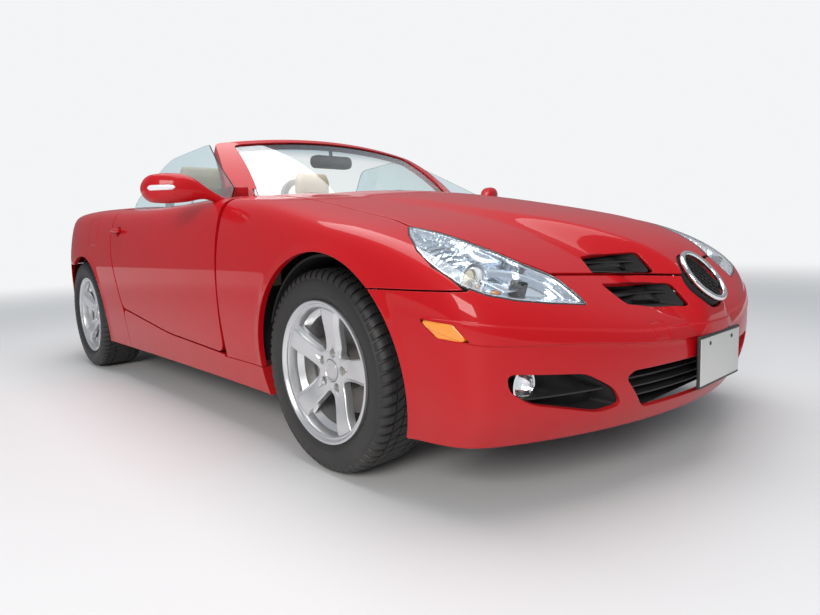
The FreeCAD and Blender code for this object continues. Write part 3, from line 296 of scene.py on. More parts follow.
# %% [markdown]
# The paint is one bright solid red under clear lacquer, so nearly all of its life comes from the coat's
# reflections. Trim, rubber, leather and metal are plain procedural finishes, each with the grain of its
# real surface.

# %% The finishes
PAINT = finish("paint_red", (0.46, 0.002, 0.006), 0.5, coat=0.55, grain=0.015, grain_scale=900, ripple=0.5,
               dust=0.2, dust_top=0.42, mottle=0.03)
PAINT.node_tree.nodes["Principled BSDF"].inputs["Specular IOR Level"].default_value = 0.12
RUBBER = finish("tyre_rubber", (0.014, 0.014, 0.015), 0.55, grain=0.25, grain_scale=260, dust=0.1,
                dust_top=0.6, mottle=0.2)
SILVER = finish("wheel_silver", (0.63, 0.64, 0.66), 0.30, metallic=0.75, coat=0.6, grain=0.05,
                grain_scale=700, dust=0.25, dust_top=0.6, mottle=0.04)
IRON = finish("brake_iron", (0.30, 0.28, 0.27), 0.45, metallic=0.8, grain=0.2, grain_scale=300, mottle=0.2)
UNDERBODY = finish("underbody_black", (0.012, 0.012, 0.013), 0.75, grain=0.3, grain_scale=160, mottle=0.2)
CAST = finish("cast_alloy", (0.42, 0.42, 0.42), 0.5, metallic=0.8, grain=0.4, grain_scale=200, mottle=0.1)
STEEL = finish("exhaust_steel", (0.45, 0.42, 0.38), 0.35, metallic=1.0, grain=0.1, mottle=0.15)
CHROME = finish("chrome", (0.86, 0.87, 0.88), 0.06, metallic=1.0, mottle=0.01)
BLACK = finish("black_plastic", (0.018, 0.018, 0.019), 0.55, grain=0.3, grain_scale=600, dust=0.1, mottle=0.1)
GLOSS_BLACK = finish("gloss_black", (0.010, 0.010, 0.011), 0.12, coat=0.5, mottle=0.05)
DASH = finish("dash_black", (0.035, 0.034, 0.034), 0.6, grain=0.5, grain_scale=320, mottle=0.1)
BLACK_LEATHER = finish("black_leather", (0.03, 0.03, 0.03), 0.42, grain=0.4, grain_scale=260, mottle=0.1)
TAN_LEATHER = finish("tan_leather", (0.50, 0.39, 0.27), 0.48, grain=0.45, grain_scale=240, mottle=0.08)
BAR_SILVER = finish("bar_silver", (0.62, 0.62, 0.63), 0.3, metallic=0.9, mottle=0.02)
AMBER = finish("amber_lens", (0.90, 0.28, 0.02), 0.12, coat=1.0, mottle=0.02)
RED_LENS = finish("red_lens", (0.45, 0.01, 0.012), 0.12, coat=1.0, mottle=0.02)
SCREEN_GLASS = glass("screen_glass", (0.93, 0.97, 0.96), ((0.30, 0.42, 0.50), 1.10, 1.17))
SIDE_GLASS = glass("side_glass", (0.72, 0.86, 0.90))
LENS = glass("lamp_lens", (0.97, 0.98, 1.0))
print("materials", len(bpy.data.materials))

# %% [markdown]
# Pieces of the CAD model whose shape is already right keep it and only get their finish.
# The flat faces of such pieces stay flat, and the curved ones are shaded smooth up to a crease angle.

# %% Finishes of the CAD nodes
LOOKS = {
    PAINT: ["screen_frame"], IRON: ["brake_disc", "knuckle", "front_axle", "rear_axle"],
    UNDERBODY: ["floor", "front_frame", "rear_frame"], CAST: ["engine"], STEEL: ["exhaust"],
    BLACK: ["inner_mirror", "cowl", "wipers", "plates", "rear_deck"], DASH: ["dashboard", "console"],
    BLACK_LEATHER: ["steering_wheel"], TAN_LEATHER: ["seat"], BAR_SILVER: ["roll_bars"],
    SCREEN_GLASS: ["windscreen"], SIDE_GLASS: ["side_glass"]}
CREASE = math.radians(32)


def dress(obj, material):
    obj.data.materials.clear()
    obj.data.materials.append(material)


for material, prefixes in LOOKS.items():
    for name, obj in node.items():
        if any(name == p or name.startswith(p + "_") for p in prefixes):
            dress(obj, material)
            obj.data.shade_smooth()
print("nodes with a finish", sum(len(obj.data.materials) > 0 for obj in node.values()))

# %% [markdown]
# The painted panels are one continuous surface cut up by shut lines, so they are not modelled one by one.
# A formula gives the whole body: splines for the roofline, the width and the set-back of nose and tail,
# blended by soft maxima. Each panel takes its outline from its CAD node or from a drawing, is divided
# finely where it bends, and is then laid exactly on that formula, whose slope also gives the shading
# normals. That is what keeps the reflections clean across the joints, which no amount of smoothing on
# separate meshes would do.

# %% The body's formula, in millimetres
ROOFLINE = [
    (-2150, 730, 730), (-2041, 860, 860), (-1900, 938, 938), (-1600, 968, 968), (-1200, 968, 968),
    (-700, 948, 948), (0, 930, 930), (500, 935, 930), (700, 925, 917), (950, 897, 884),
    (1218, 852, 830), (1500, 798, 768), (1645, 765, 715), (1820, 703, 615), (1925, 640, 535),
    (1980, 588, 495), (2040, 515, 445), (2100, 430, 380)]
DOME = [
    (-2100, 300, 120), (600, 470, 110), (1300, 370, 70), (1640, 290, 60), (1800, 215, 56),
    (1925, 140, 55), (2000, 105, 52), (2100, 80, 50)]
HALF_WIDTH = [
    (-2150, 560), (-2000, 700), (-1850, 802), (-1650, 862), (-1450, 887), (-1224, 893), (-700, 885),
    (0, 878), (560, 880), (900, 886), (1206, 893), (1500, 885), (1700, 868), (1900, 850), (2100, 835)]
NOSE_SETBACK = [
    (150, 95), (190, 62), (230, 38), (300, 14), (400, 2), (500, 0), (600, 20), (700, 60), (900, 200)]
TAIL_SETBACK = [
    (150, 130), (200, 90), (300, 30), (450, 4), (600, 12), (700, 44), (800, 66), (900, 60), (1100, 60)]


class Curve:
    """Natural cubic spline through a short table."""

    def __init__(self, table, column=1):
        self.x = np.array([row[0] for row in table], float)
        self.y = np.array([row[column] for row in table], float)
        span = np.diff(self.x)
        slope = np.diff(self.y) / span
        system = np.eye(len(table))
        right = np.zeros(len(table))
        for i in range(1, len(table) - 1):
            system[i, i - 1:i + 2] = span[i - 1], 2 * (span[i - 1] + span[i]), span[i]
            right[i] = 6 * (slope[i] - slope[i - 1])
        self.bend = np.linalg.solve(system, right)
        self.fine_x = np.arange(self.x[0], self.x[-1] + 0.25, 0.5)
        self.fine_y = self.exact(self.fine_x)

    def exact(self, x):
        i = np.clip(np.searchsorted(self.x, x) - 1, 0, len(self.x) - 2)
        span = self.x[i + 1] - self.x[i]
        a, b = self.x[i + 1] - x, x - self.x[i]
        bend = self.bend[i] * (a ** 3 / span - span * a) + self.bend[i + 1] * (b ** 3 / span - span * b)
        return bend / 6 + (self.y[i] * a + self.y[i + 1] * b) / span

    def __call__(self, x):
        return np.interp(x, self.fine_x, self.fine_y)


CENTRE_Z, EDGE_Z = Curve(ROOFLINE, 1), Curve(ROOFLINE, 2)
DOME_Y, DOME_STEP = Curve(DOME, 1), Curve(DOME, 2)
WIDTH, NOSE_BACK, TAIL_BACK = Curve(HALF_WIDTH), Curve(NOSE_SETBACK), Curve(TAIL_SETBACK)
NOSE_X, TAIL_X = 2045.0, -2045.0
NOSE_BEND, TAIL_BEND = 3.3e-4, 3.4e-4
TOP_ROUND, NOSE_ROUND, TAIL_ROUND = 56, 64, 90
WAIST_Z = 560
TOP_DROP, TOP_SPAN = 26, 740
DOME_DROP, DOME_SPAN = 6, 300
LEAN_IN, LEAN_SPAN, LEAN_POWER = 60, 400, 2.2
SILL_IN, SILL_SPAN = 22, 300


def soft_max(a, b, k):
    return 0.5 * (a + b + np.sqrt((a - b) ** 2 + k * k))


def soft_step(t):
    t = np.clip(t, 0, 1)
    return t ** 3 * (t * (6 * t - 15) + 10)


def plain_body(p):
    """Less than zero inside the body's outer surface; p is an array of points."""
    x, y, z = p[:, 0], p[:, 1], p[:, 2]
    across = np.abs(y)
    dome = 1 - soft_step((across - (DOME_Y(x) - DOME_STEP(x))) / (2 * DOME_STEP(x)))
    edge = EDGE_Z(x) - TOP_DROP * (across / TOP_SPAN) ** 2
    top = edge + (CENTRE_Z(x) - EDGE_Z(x)) * dome - DOME_DROP * (across / DOME_SPAN) ** 2 * dome
    above, below = np.maximum(z - WAIST_Z, 0), np.maximum(WAIST_Z - z, 0)
    side = WIDTH(x) - LEAN_IN * (above / LEAN_SPAN) ** LEAN_POWER - SILL_IN * (below / SILL_SPAN) ** 2
    f = soft_max(z - top, across - side, TOP_ROUND)
    f = soft_max(f, x - (NOSE_X - NOSE_BEND * y * y - NOSE_BACK(z)), NOSE_ROUND)
    return soft_max(f, TAIL_X + TAIL_BEND * y * y + TAIL_BACK(z) - x, TAIL_ROUND)


print("half width at the doors", round(float(WIDTH(0)), 1), "mm")

# %% Pressed details, as heights above the plain body
ARCHES = [(1220.0, 316.0, 368.0), (-1224.0, 316.0, 350.0)]
LIP_RISE, LIP_WIDTH = 4.5, 20.0
STRIP_TOP = Curve([(1500, 526), (1637, 523), (1786, 515), (1893, 488), (1950, 468), (1987, 452), (2045, 446)])
STRIP_FOOT = Curve([(1500, 505), (1637, 501), (1786, 459), (1893, 444), (1950, 431), (1987, 415),
                    (2045, 397)])
STRIP_RISE, STRIP_EDGE, STRIP_END = 4.0, 7.0, 1640
FAR_OFF = 1000.0
GROOVE_DEPTH, GROOVE_WIDTH = 2.2, 2.0


def rounded_ring(u, v, half_u, half_v, radius):
    """Distance from the outline of a rounded rectangle."""
    du, dv = np.abs(u) - half_u + radius, np.abs(v) - half_v + radius
    outside = np.hypot(np.maximum(du, 0), np.maximum(dv, 0)) + np.minimum(np.maximum(du, dv), 0)
    return np.abs(outside - radius)


def groove(distance):
    return -GROOVE_DEPTH * np.exp(-(distance / GROOVE_WIDTH) ** 2)


def pressed(p):
    """Height of the pressed details at an array of points."""
    x, y, z = p[:, 0], p[:, 1], p[:, 2]
    lift = np.zeros(len(p))
    for cx, cz, radius in ARCHES:
        beyond = np.maximum(np.hypot(x - cx, z - cz) - radius, 0)
        lift += LIP_RISE * np.exp(-(beyond / LIP_WIDTH) ** 2) * (np.abs(y) > 600)
    band = soft_step((z - STRIP_FOOT(x)) / STRIP_EDGE) * soft_step((STRIP_TOP(x) - z) / STRIP_EDGE)
    lift += STRIP_RISE * band * soft_step((x - STRIP_END) / 60)
    lift += groove(tow_cover(x, y, z)) + groove(filler_flap(x, y, z))
    return lift


def tow_cover(x, y, z):
    """Distance from the outline of the small cover over the towing eye, in the bumper's strip."""
    return np.where(x > 1800, rounded_ring(y + 290, z - 443, 30, 22, 6), FAR_OFF)


def filler_flap(x, y, z):
    """Distance from the outline of the fuel flap in the right rear panel."""
    return np.where((y < -600) & (z > 600), rounded_ring(x + 1010, z - 800, 78, 74, 30), FAR_OFF)


def detail_near(p):
    """Distance from the nearest narrow pressed detail, where the mesh has to be finest."""
    x, y, z = p[:, 0], p[:, 1], p[:, 2]
    strip = np.minimum(np.abs(z - STRIP_TOP(x) + 3), np.abs(z - STRIP_FOOT(x) - 3))
    strip = np.where(x > STRIP_END, strip, FAR_OFF)
    return np.minimum(np.minimum(tow_cover(x, y, z), filler_flap(x, y, z)), strip)


def body(p):
    return plain_body(p) - pressed(p)


def slope(p, field=body, step=0.4):
    """Unit normals of a field at an array of points."""
    rise = np.empty_like(p)
    for axis, shift in enumerate(np.eye(3) * step):
        rise[:, axis] = field(p + shift) - field(p - shift)
    size = np.linalg.norm(rise, axis=1, keepdims=True)
    return rise / np.maximum(size, 1e-9), size[:, 0] / (2 * step)


def settle(p, field=body, rounds=4):
    """Points moved onto a field's surface along its slope."""
    for _ in range(rounds):
        way, rate = slope(p, field)
        p = p - way * np.clip(field(p) / np.maximum(rate, 0.2), -12, 12)[:, None]
    return p


print("body height at the cowl", round(float(CENTRE_Z(700)), 1), "mm")

# %% [markdown]
# Dividing is done on plain arrays, because a car's panels have too many triangles for a loop in Python.
# Each round finds the edges that are long, or along which the body bends, and splits every triangle
# on them into two, three or four, so neighbours always share their new corners.

# %% Dividing a mesh where the body bends
LONGEST_EDGE = 34.0
SHORTEST_SPLIT = 6.0
FINEST_EDGE = 3.0
SAG_LIMIT = 0.3
BEND_LIMIT = math.cos(math.radians(6))
NEAR_SURFACE, FAR_SURFACE = 4.0, 95.0
HEAVIEST_WALL = 40.0
LONGEST_MOVE = 20.0
SMOOTH_TURN = math.cos(math.radians(28))
WALL_SHARE = 0.06
INNER_DEPTH = 10.0


def welded(obj):
    """The corners, in millimetres, and the triangles of a CAD node, with doubled corners joined."""
    bm = bmesh.new()
    bm.from_mesh(obj.data)
    bmesh.ops.transform(bm, matrix=Matrix.Scale(1000, 4), verts=bm.verts)
    bmesh.ops.remove_doubles(bm, verts=bm.verts, dist=0.02)
    bmesh.ops.dissolve_degenerate(bm, edges=bm.edges, dist=0.02)
    bmesh.ops.triangulate(bm, faces=bm.faces)
    bm.verts.index_update()
    points = np.array([v.co[:] for v in bm.verts])
    tris = np.array([[v.index for v in face.verts] for face in bm.faces])
    bm.free()
    return points, tris


def face_normals(points, tris):
    a, b, c = (points[tris[:, i]] for i in range(3))
    cross = np.cross(b - a, c - a)
    return cross / np.maximum(np.linalg.norm(cross, axis=1, keepdims=True), 1e-12)


def sides_of(tris):
    """The three sides of each triangle, all the first ones first."""
    return np.concatenate([tris[:, [0, 1]], tris[:, [1, 2]], tris[:, [2, 0]]])


def pairs_of(tris):
    """Pairs of triangles that share a side."""
    sides = np.sort(sides_of(tris), axis=1)
    owner = np.tile(np.arange(len(tris)), 3)
    order = np.lexsort((sides[:, 1], sides[:, 0]))
    same = (sides[order[1:]] == sides[order[:-1]]).all(axis=1)
    return owner[order[:-1]][same], owner[order[1:]][same]


def looks_out(points, tris):
    """The outer skin: triangles that look outwards close to the plain body, and what carries on smoothly."""
    level = np.abs(plain_body(points))[tris].max(axis=1)
    way, _ = slope(points, plain_body)
    flat = face_normals(points, tris)
    outward = (flat * way[tris].mean(axis=1)).sum(axis=1) > 0.5
    skin = outward & (level < NEAR_SURFACE)
    first, second = pairs_of(tris)
    smooth = (flat[first] * flat[second]).sum(axis=1) > SMOOTH_TURN
    first, second = first[smooth], second[smooth]
    allowed = outward & (level < FAR_SURFACE)
    count = -1
    while count != skin.sum():
        count = skin.sum()
        skin[first[skin[second] & allowed[first]]] = True
        skin[second[skin[first] & allowed[second]]] = True
    return skin


def within_walls(points, tris, outer, chosen):
    """For chosen points, a matrix that keeps a move inside the walls that meet there."""
    walls = tris[~outer]
    a, b, c = (points[walls[:, i]] for i in range(3))
    cross = np.cross(b - a, c - a)
    size = np.linalg.norm(cross, axis=1)
    flat = cross / np.maximum(size, 1e-9)[:, None]
    weight = np.minimum(size, HEAVIEST_WALL)
    spread_out = np.zeros((len(points), 3, 3))
    product = weight[:, None, None] * flat[:, :, None] * flat[:, None, :]
    for corner in range(3):
        np.add.at(spread_out, walls[:, corner], product)
    chosen_product = spread_out[chosen]
    total = np.maximum(np.trace(chosen_product, axis1=1, axis2=2), 1e-9)
    values, vectors = np.linalg.eigh(chosen_product / total[:, None, None])
    free = vectors * (values < WALL_SHARE)[:, None, :]
    return free @ np.transpose(vectors, (0, 2, 1))


def laid(points, tris, outer, chosen, field, rounds):
    """Chosen points moved onto the field, those on the border within the walls that they share."""
    moved = points[chosen]
    keep = within_walls(points, tris, outer, chosen)
    for _ in range(rounds):
        way, rate = slope(moved, field)
        free = np.einsum("nij,nj->ni", keep, way)
        size = np.linalg.norm(free, axis=1)
        free = np.where((size > 0.25)[:, None], free / np.maximum(size, 0.25)[:, None] ** 2, 0)
        move = np.clip(field(moved) / np.maximum(rate, 0.2), -LONGEST_MOVE, LONGEST_MOVE)
        moved = moved - free * move[:, None]
    return moved


def wanted_splits(points, edges, way, field, detail):
    """Which edges are too long for where they lie or for how much the surface bends along them."""
    a, b = points[edges[:, 0]], points[edges[:, 1]]
    length = np.linalg.norm(b - a, axis=1)
    bend = (way[edges[:, 0]] * way[edges[:, 1]]).sum(axis=1)
    middle = 0.5 * (a + b)
    limit = np.clip(FINEST_EDGE + 0.5 * (detail(middle) - 8), FINEST_EDGE, LONGEST_EDGE)
    curved = ((bend < BEND_LIMIT) | (np.abs(field(middle)) > SAG_LIMIT)) & (length > SHORTEST_SPLIT)
    return (length > limit) | curved


def split_on(tris, outer, middle):
    """The triangles split on their sides' new corners, where middle gives one, or -1, for each side."""
    count = (middle >= 0).sum(axis=1)
    pieces, flags = [tris[count == 0]], [outer[count == 0]]
    for number in (1, 2, 3):
        chosen = count == number
        t, m = tris[chosen], middle[chosen]
        turn = np.argmax((m >= 0) == (number == 1), axis=1) if number < 3 else np.zeros(len(t), int)
        order = (turn[:, None] + np.arange(3)) % 3
        v0, v1, v2 = np.take_along_axis(t, order, axis=1).T
        m0, m1, m2 = np.take_along_axis(m, order, axis=1).T
        if number == 1:
            new = [(v0, m0, v2), (m0, v1, v2)]
        elif number == 2:
            new = [(v2, m2, m1), (v0, v1, m1), (v0, m1, m2)]
        else:
            new = [(v0, m0, m2), (m0, v1, m1), (m2, m1, v2), (m0, m1, m2)]
        for corners in new:
            pieces.append(np.stack(corners, axis=1))
            flags.append(outer[chosen])
    return np.concatenate(pieces), np.concatenate(flags)


def divided(points, tris, outer, field=body, detail=detail_near, rounds=8):
    """The mesh laid on the field and divided until every edge on it is short enough."""
    points, way, tested = points.copy(), np.zeros_like(points), 0
    new = np.unique(tris[outer])
    for _ in range(rounds):
        points[new] = laid(points, tris, outer, new, field, rounds=8 if tested == 0 else 3)
        way[new] = slope(points[new], field)[0]
        edges, place = np.unique(np.sort(sides_of(tris), axis=1), axis=0, return_inverse=True)
        place = place.reshape(3, -1).T
        on_skin = np.zeros(len(edges), bool)
        on_skin[place[outer].ravel()] = True
        fresh = np.full(len(edges), -1)
        open_edges = np.flatnonzero(on_skin & (edges[:, 1] >= tested))
        chosen = open_edges[wanted_splits(points, edges[open_edges], way, field, detail)]
        if not len(chosen):
            break
        tested = len(points)
        new = tested + np.arange(len(chosen))
        fresh[chosen] = new
        points = np.vstack([points, 0.5 * (points[edges[chosen, 0]] + points[edges[chosen, 1]])])
        way = np.vstack([way, np.zeros((len(chosen), 3))])
        tris, outer = split_on(tris, outer, fresh[place])
    return points, tris, outer


print("edges from", FINEST_EDGE, "to", LONGEST_EDGE, "mm")

# %% [markdown]
# The bonnet, the front bumper, the boot lid and the lamps meet along lines that cross the body's
# strongest bends, so their skins are drawn flat, in plan, unrolled round the nose or along the slope of
# the lid. Their edges, the shut lines and the openings become fixed lines of a triangulation, filled in
# with an even grid.

# %% Skins drawn flat
GRID = 14.0
SHEET = 13.0


def unit(rows):
    return rows / np.maximum(np.linalg.norm(rows, axis=1, keepdims=True), 1e-9)


def border_of(tris):
    """The border edges of an open surface, each in the direction of its triangle."""
    sides = sides_of(tris)
    _, place, count = np.unique(np.sort(sides, axis=1), axis=0, return_inverse=True, return_counts=True)
    return sides[count[place.ravel()] == 1]


def thick(top, bottom, tris):
    """A closed piece between two copies of an open surface."""
    used, small = np.unique(tris, return_inverse=True)
    small = small.reshape(-1, 3)
    count = len(used)
    border = border_of(small)
    walls = np.concatenate([np.stack([border[:, 1], border[:, 0], border[:, 0] + count], axis=1),
                            np.stack([border[:, 1], border[:, 0] + count, border[:, 1] + count], axis=1)])
    return np.vstack([top[used], bottom[used]]), np.concatenate([small, small[:, ::-1] + count, walls])


def smooth_outline(corners, radius=14.0, steps=6):
    """A closed outline with each corner rounded off by a quadratic curve."""
    corners = np.array(corners, float)
    rounded = []
    for i, corner in enumerate(corners):
        before, after = corners[i - 1] - corner, corners[(i + 1) % len(corners)] - corner
        reach = min(radius, 0.45 * np.linalg.norm(before), 0.45 * np.linalg.norm(after))
        start, end = corner + unit(before[None])[0] * reach, corner + unit(after[None])[0] * reach
        t = np.linspace(0, 1, steps)[:, None]
        rounded.append((1 - t) ** 2 * start + 2 * t * (1 - t) * corner + t ** 2 * end)
    return np.vstack(rounded)


def pierce(start, way, reach, rounds=26):
    """Where lines from inside the body leave it: points along a way from their starts."""
    low, high = np.zeros(len(start)), np.full(len(start), float(reach))
    for _ in range(rounds):
        middle = 0.5 * (low + high)
        inside = plain_body(start + middle[:, None] * way) < 0
        low, high = np.where(inside, middle, low), np.where(inside, high, middle)
    return start + low[:, None] * way


AHEAD, ACROSS, UPWARD = np.eye(3)


def nose_x(y, z):
    """The place along the car of the front surface at a width and height."""
    return pierce(np.column_stack([np.full(len(y), 1500.0), y, z]), AHEAD, 600, rounds=24)[:, 0]


def gap_to(points, others):
    """Distance from each point to the nearest of some others."""
    return np.min(np.linalg.norm(points[:, None] - others[None], axis=2), axis=1)


def within(points, loop):
    """Which points of a plane lie inside a closed outline."""
    x, y = points[:, 0][:, None], points[:, 1][:, None]
    a, b = loop, np.roll(loop, -1, axis=0)
    crosses = (a[:, 1] > y) != (b[:, 1] > y)
    rise = np.where(b[:, 1] == a[:, 1], 1e-9, b[:, 1] - a[:, 1])
    return (crosses & (x < a[:, 0] + (y - a[:, 1]) * (b[:, 0] - a[:, 0]) / rise)).sum(axis=1) % 2 == 1


def fine_line(line, closed=True, step=8.0):
    """An outline with its long stretches divided."""
    ends = np.roll(line, -1, axis=0) if closed else line[1:]
    parts = []
    for a, b in zip(line, ends):
        count = max(1, int(np.linalg.norm(b - a) / step))
        parts.append(a + (b - a) * np.linspace(0, 1, count, endpoint=False)[:, None])
    if not closed:
        parts.append(line[-1:])
    return np.vstack(parts)


def drawn(lines, lift, keep, grid=GRID):
    """A closed sheet under the body's surface, as points, triangles and which of them are its skin.

    The lines of a flat drawing are its fixed edges, each with whether it is closed. Lift takes the drawing
    to the body's surface, and keep says which places there belong to the sheet.
    """
    fixed, edges = [], []
    for line, closed in lines:
        line = fine_line(np.asarray(line, float), closed)
        start, count = sum(len(part) for part in fixed), len(line)
        fixed.append(line)
        edges += [(start + k, start + (k + 1) % count) for k in range(count if closed else count - 1)]
    fixed = np.vstack(fixed)
    low, high = fixed.min(axis=0), fixed.max(axis=0)
    inner = np.stack(np.meshgrid(*(np.arange(a, b, grid) for a, b in zip(low, high)), indexing="ij"), axis=-1)
    inner = inner.reshape(-1, 2)
    inner = inner[gap_to(inner, fixed) > grid * 0.4]
    flat = [Vector(p) for p in np.vstack([fixed, inner]).tolist()]
    verts, _, tris, *_ = delaunay_2d_cdt(flat, edges, [], 0, 1e-4)
    plan, tris = np.array([v[:] for v in verts]), np.array(tris)
    top = lift(plan)
    edge, other = plan[tris[:, 1]] - plan[tris[:, 0]], plan[tris[:, 2]] - plan[tris[:, 0]]
    wide = np.abs(edge[:, 0] * other[:, 1] - edge[:, 1] * other[:, 0]) > 1e-3
    tris = tris[wide & keep(top[tris].mean(axis=1))]
    way = slope(top, plain_body)[0]
    facing = (face_normals(top, tris) * way[tris].mean(axis=1)).sum(axis=1)
    tris = np.where((facing < 0)[:, None], tris[:, ::-1], tris)
    points, faces = thick(top, top - way * SHEET, tris)
    outer = np.zeros(len(faces), bool)
    outer[:len(tris)] = True
    return points, faces, outer


def from_plan(points):
    """Points of a drawing in plan, carried up to the surface."""
    return pierce(np.column_stack([points, np.full(len(points), 300.0)]), UPWARD, 800)


def from_side(points, inner=420.0):
    """Points of a drawing of the right side, carried out to the surface."""
    return pierce(np.column_stack([points[:, 0], np.full(len(points), -inner), points[:, 1]]), -ACROSS, 600)


def from_front(points):
    return np.column_stack([nose_x(points[:, 0], points[:, 1]), points])


def from_rear(points):
    return pierce(np.column_stack([np.full(len(points), -1450.0), points]), -AHEAD, 700)


def circle(centre, radius, start, end, count):
    """An arc of a flat drawing, between two angles in degrees."""
    turn = np.radians(np.linspace(start, end, count))
    return np.array(centre) + radius * np.column_stack([np.cos(turn), np.sin(turn)])


def runs(line, jump):
    """The stretches of a line of points between its jumps."""
    return np.split(line, np.flatnonzero(np.linalg.norm(np.diff(line, axis=0), axis=1) > jump) + 1)


print("grid of the drawn skins", GRID, "mm")

# %% [markdown]
# A real panel's edge is folded over with a small radius, and that thin bright line is what makes a shut
# line read. Each panel gets a narrow ring along its outer border, dropped by a millimetre, whose normals
# lean half-way to the wall beside it.

# %% Laying a panel on the formula
EDGE_WIDTH, EDGE_DROP = 2.4, 1.1
WALL, SKIN, RING = 0, 1, 2


def add_mesh(name, points, faces, material, normals=None):
    """A mesh object from millimetres, with its own normals where they are given, one for each face corner."""
    mesh = bpy.data.meshes.new(name)
    faces = faces.tolist() if isinstance(faces, np.ndarray) else faces
    mesh.from_pydata((np.asarray(points) / 1000).tolist(), [], faces)
    mesh.shade_smooth()
    if normals is not None:
        mesh.normals_split_custom_set(normals.tolist())
    mesh.materials.append(material)
    obj = bpy.data.objects.new(name, mesh)
    scene.collection.objects.link(obj)
    return obj


def ringed(points, tris, outer, width=EDGE_WIDTH):
    """The same mesh with a narrow ring inside the outer skin's border; also says what each face is."""
    mesh = bpy.data.meshes.new("work")
    mesh.from_pydata(points.tolist(), [], tris.tolist())
    bm = bmesh.new()
    bm.from_mesh(mesh)
    kind = bm.faces.layers.int.new("kind")
    bm.faces.ensure_lookup_table()
    for face, skin in zip(bm.faces, outer.tolist()):
        face[kind] = SKIN if skin else WALL
    skin = [face for face in bm.faces if face[kind] == SKIN]
    for face in bmesh.ops.inset_region(bm, faces=skin, thickness=width, use_boundary=True)["faces"]:
        face[kind] = RING
    bmesh.ops.triangulate(bm, faces=[face for face in bm.faces if len(face.verts) > 3])
    bm.to_mesh(mesh)
    bm.free()
    points = np.empty(len(mesh.vertices) * 3)
    mesh.vertices.foreach_get("co", points)
    corners = np.empty(len(mesh.loops), int)
    mesh.loops.foreach_get("vertex_index", corners)
    kinds = np.empty(len(mesh.polygons), int)
    mesh.attributes["kind"].data.foreach_get("value", kinds)
    bpy.data.meshes.remove(mesh)
    return points.reshape(-1, 3), corners.reshape(-1, 3), kinds


def panel(name, rides, material, sheet=None):
    """A CAD panel, or a drawn sheet in its place, laid on the formula with softened edges and normals."""
    if sheet is None:
        points, tris = welded(node[name])
        sheet = points, tris, looks_out(points, tris)
    points, tris, outer = divided(*sheet)
    behind = np.ones(len(points), bool)
    behind[tris[outer].ravel()] = False
    behind &= plain_body(points) > -INNER_DEPTH
    points[behind] = settle(points[behind], lambda p: plain_body(p) + INNER_DEPTH, rounds=8)
    points, tris, kinds = ringed(points, tris, outer)
    in_skin, in_ring = (np.isin(np.arange(len(points)), tris[kinds == kind]) for kind in (SKIN, RING))
    moved = in_skin | in_ring
    points[moved] = settle(points[moved])
    way = np.zeros_like(points)
    way[moved] = slope(points[moved])[0]
    rim = in_ring & ~in_skin
    points[rim] -= way[rim] * EDGE_DROP
    flat = face_normals(points, tris)
    walls = np.zeros_like(points)
    for corner in range(3):
        np.add.at(walls, tris[kinds == WALL][:, corner], flat[kinds == WALL])
    way[rim] = unit(way[rim] + unit(walls[rim]))
    normals = way[tris]
    normals[kinds == WALL] = flat[kinds == WALL][:, None]
    obj = add_mesh("dressed_" + name, points, tris, material, normals.reshape(-1, 3))
    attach(obj, rides)
    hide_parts(name)
    print(name, len(node[name].data.polygons), "->", len(tris), "triangles")


# %% The bonnet
RING_CENTRE = np.array((1986.0, 0.0, 573.0))
RING_AXIS = unit(np.array(((0.78, 0.0, 0.626),)))[0]
RING_UP = np.cross(RING_AXIS, ACROSS)
RING_OUTSIDE = 92.5
SHUT_GAP = 7.0
BONNET_EDGE = [(690, -686), (800, -686.5), (1000, -678.5), (1200, -674.5), (1366, -680.5), (1452, -700)]
LAMP_INNER = [(1541, -664), (1635, -631), (1737, -578), (1809, -510)]
UPPER_SLOT = [(-315, 643), (-165, 650), (-150, 590), (-350, 600)]


def split_height(y):
    """Height of the shut line between bonnet and bumper."""
    return 574 + 32 * np.minimum(np.abs(y) / 500, 1) + SHUT_GAP / 2


def ring_line(radius):
    """Where a tube round the nose ring's axis leaves the body."""
    flat = circle((0, 0), radius, 0, 360, 49)[:-1]
    return pierce(RING_CENTRE - RING_AXIS * 200 + flat @ np.array((ACROSS, RING_UP)), RING_AXIS, 500)


def off_ring_axis(p):
    away = p - RING_CENTRE
    return np.linalg.norm(away - (away @ RING_AXIS)[:, None] * RING_AXIS, axis=1)


def shut_line(drop):
    """The shut line over the nose, lowered by a drop."""
    y = np.linspace(-560, 560, 141)
    return from_front(np.column_stack([y, split_height(y) - drop]))


def bonnet_sheet():
    right = BONNET_EDGE + [(x, y + SHUT_GAP) for x, y in LAMP_INNER] + [(2020, -470)]
    outline = np.array(right + [(x, -y) for x, y in right[::-1]], float)
    slot = fine_line(smooth_outline(UPPER_SLOT, 10))
    lines = [(outline, True), (shut_line(0)[:, :2], False), (ring_line(RING_OUTSIDE)[:, :2], True)]
    lines += [(from_front(side)[:, :2], True) for side in (slot, slot * (-1, 1))]

    def keep(p):
        outside_slot = ~within(np.column_stack([-np.abs(p[:, 1]), p[:, 2]]), slot)
        return (within(p[:, :2], outline) & (p[:, 2] > split_height(p[:, 1])) & outside_slot
                & (off_ring_axis(p) > RING_OUTSIDE))

    return drawn(lines, from_plan, keep)


print("bonnet edge places", len(BONNET_EDGE + LAMP_INNER))

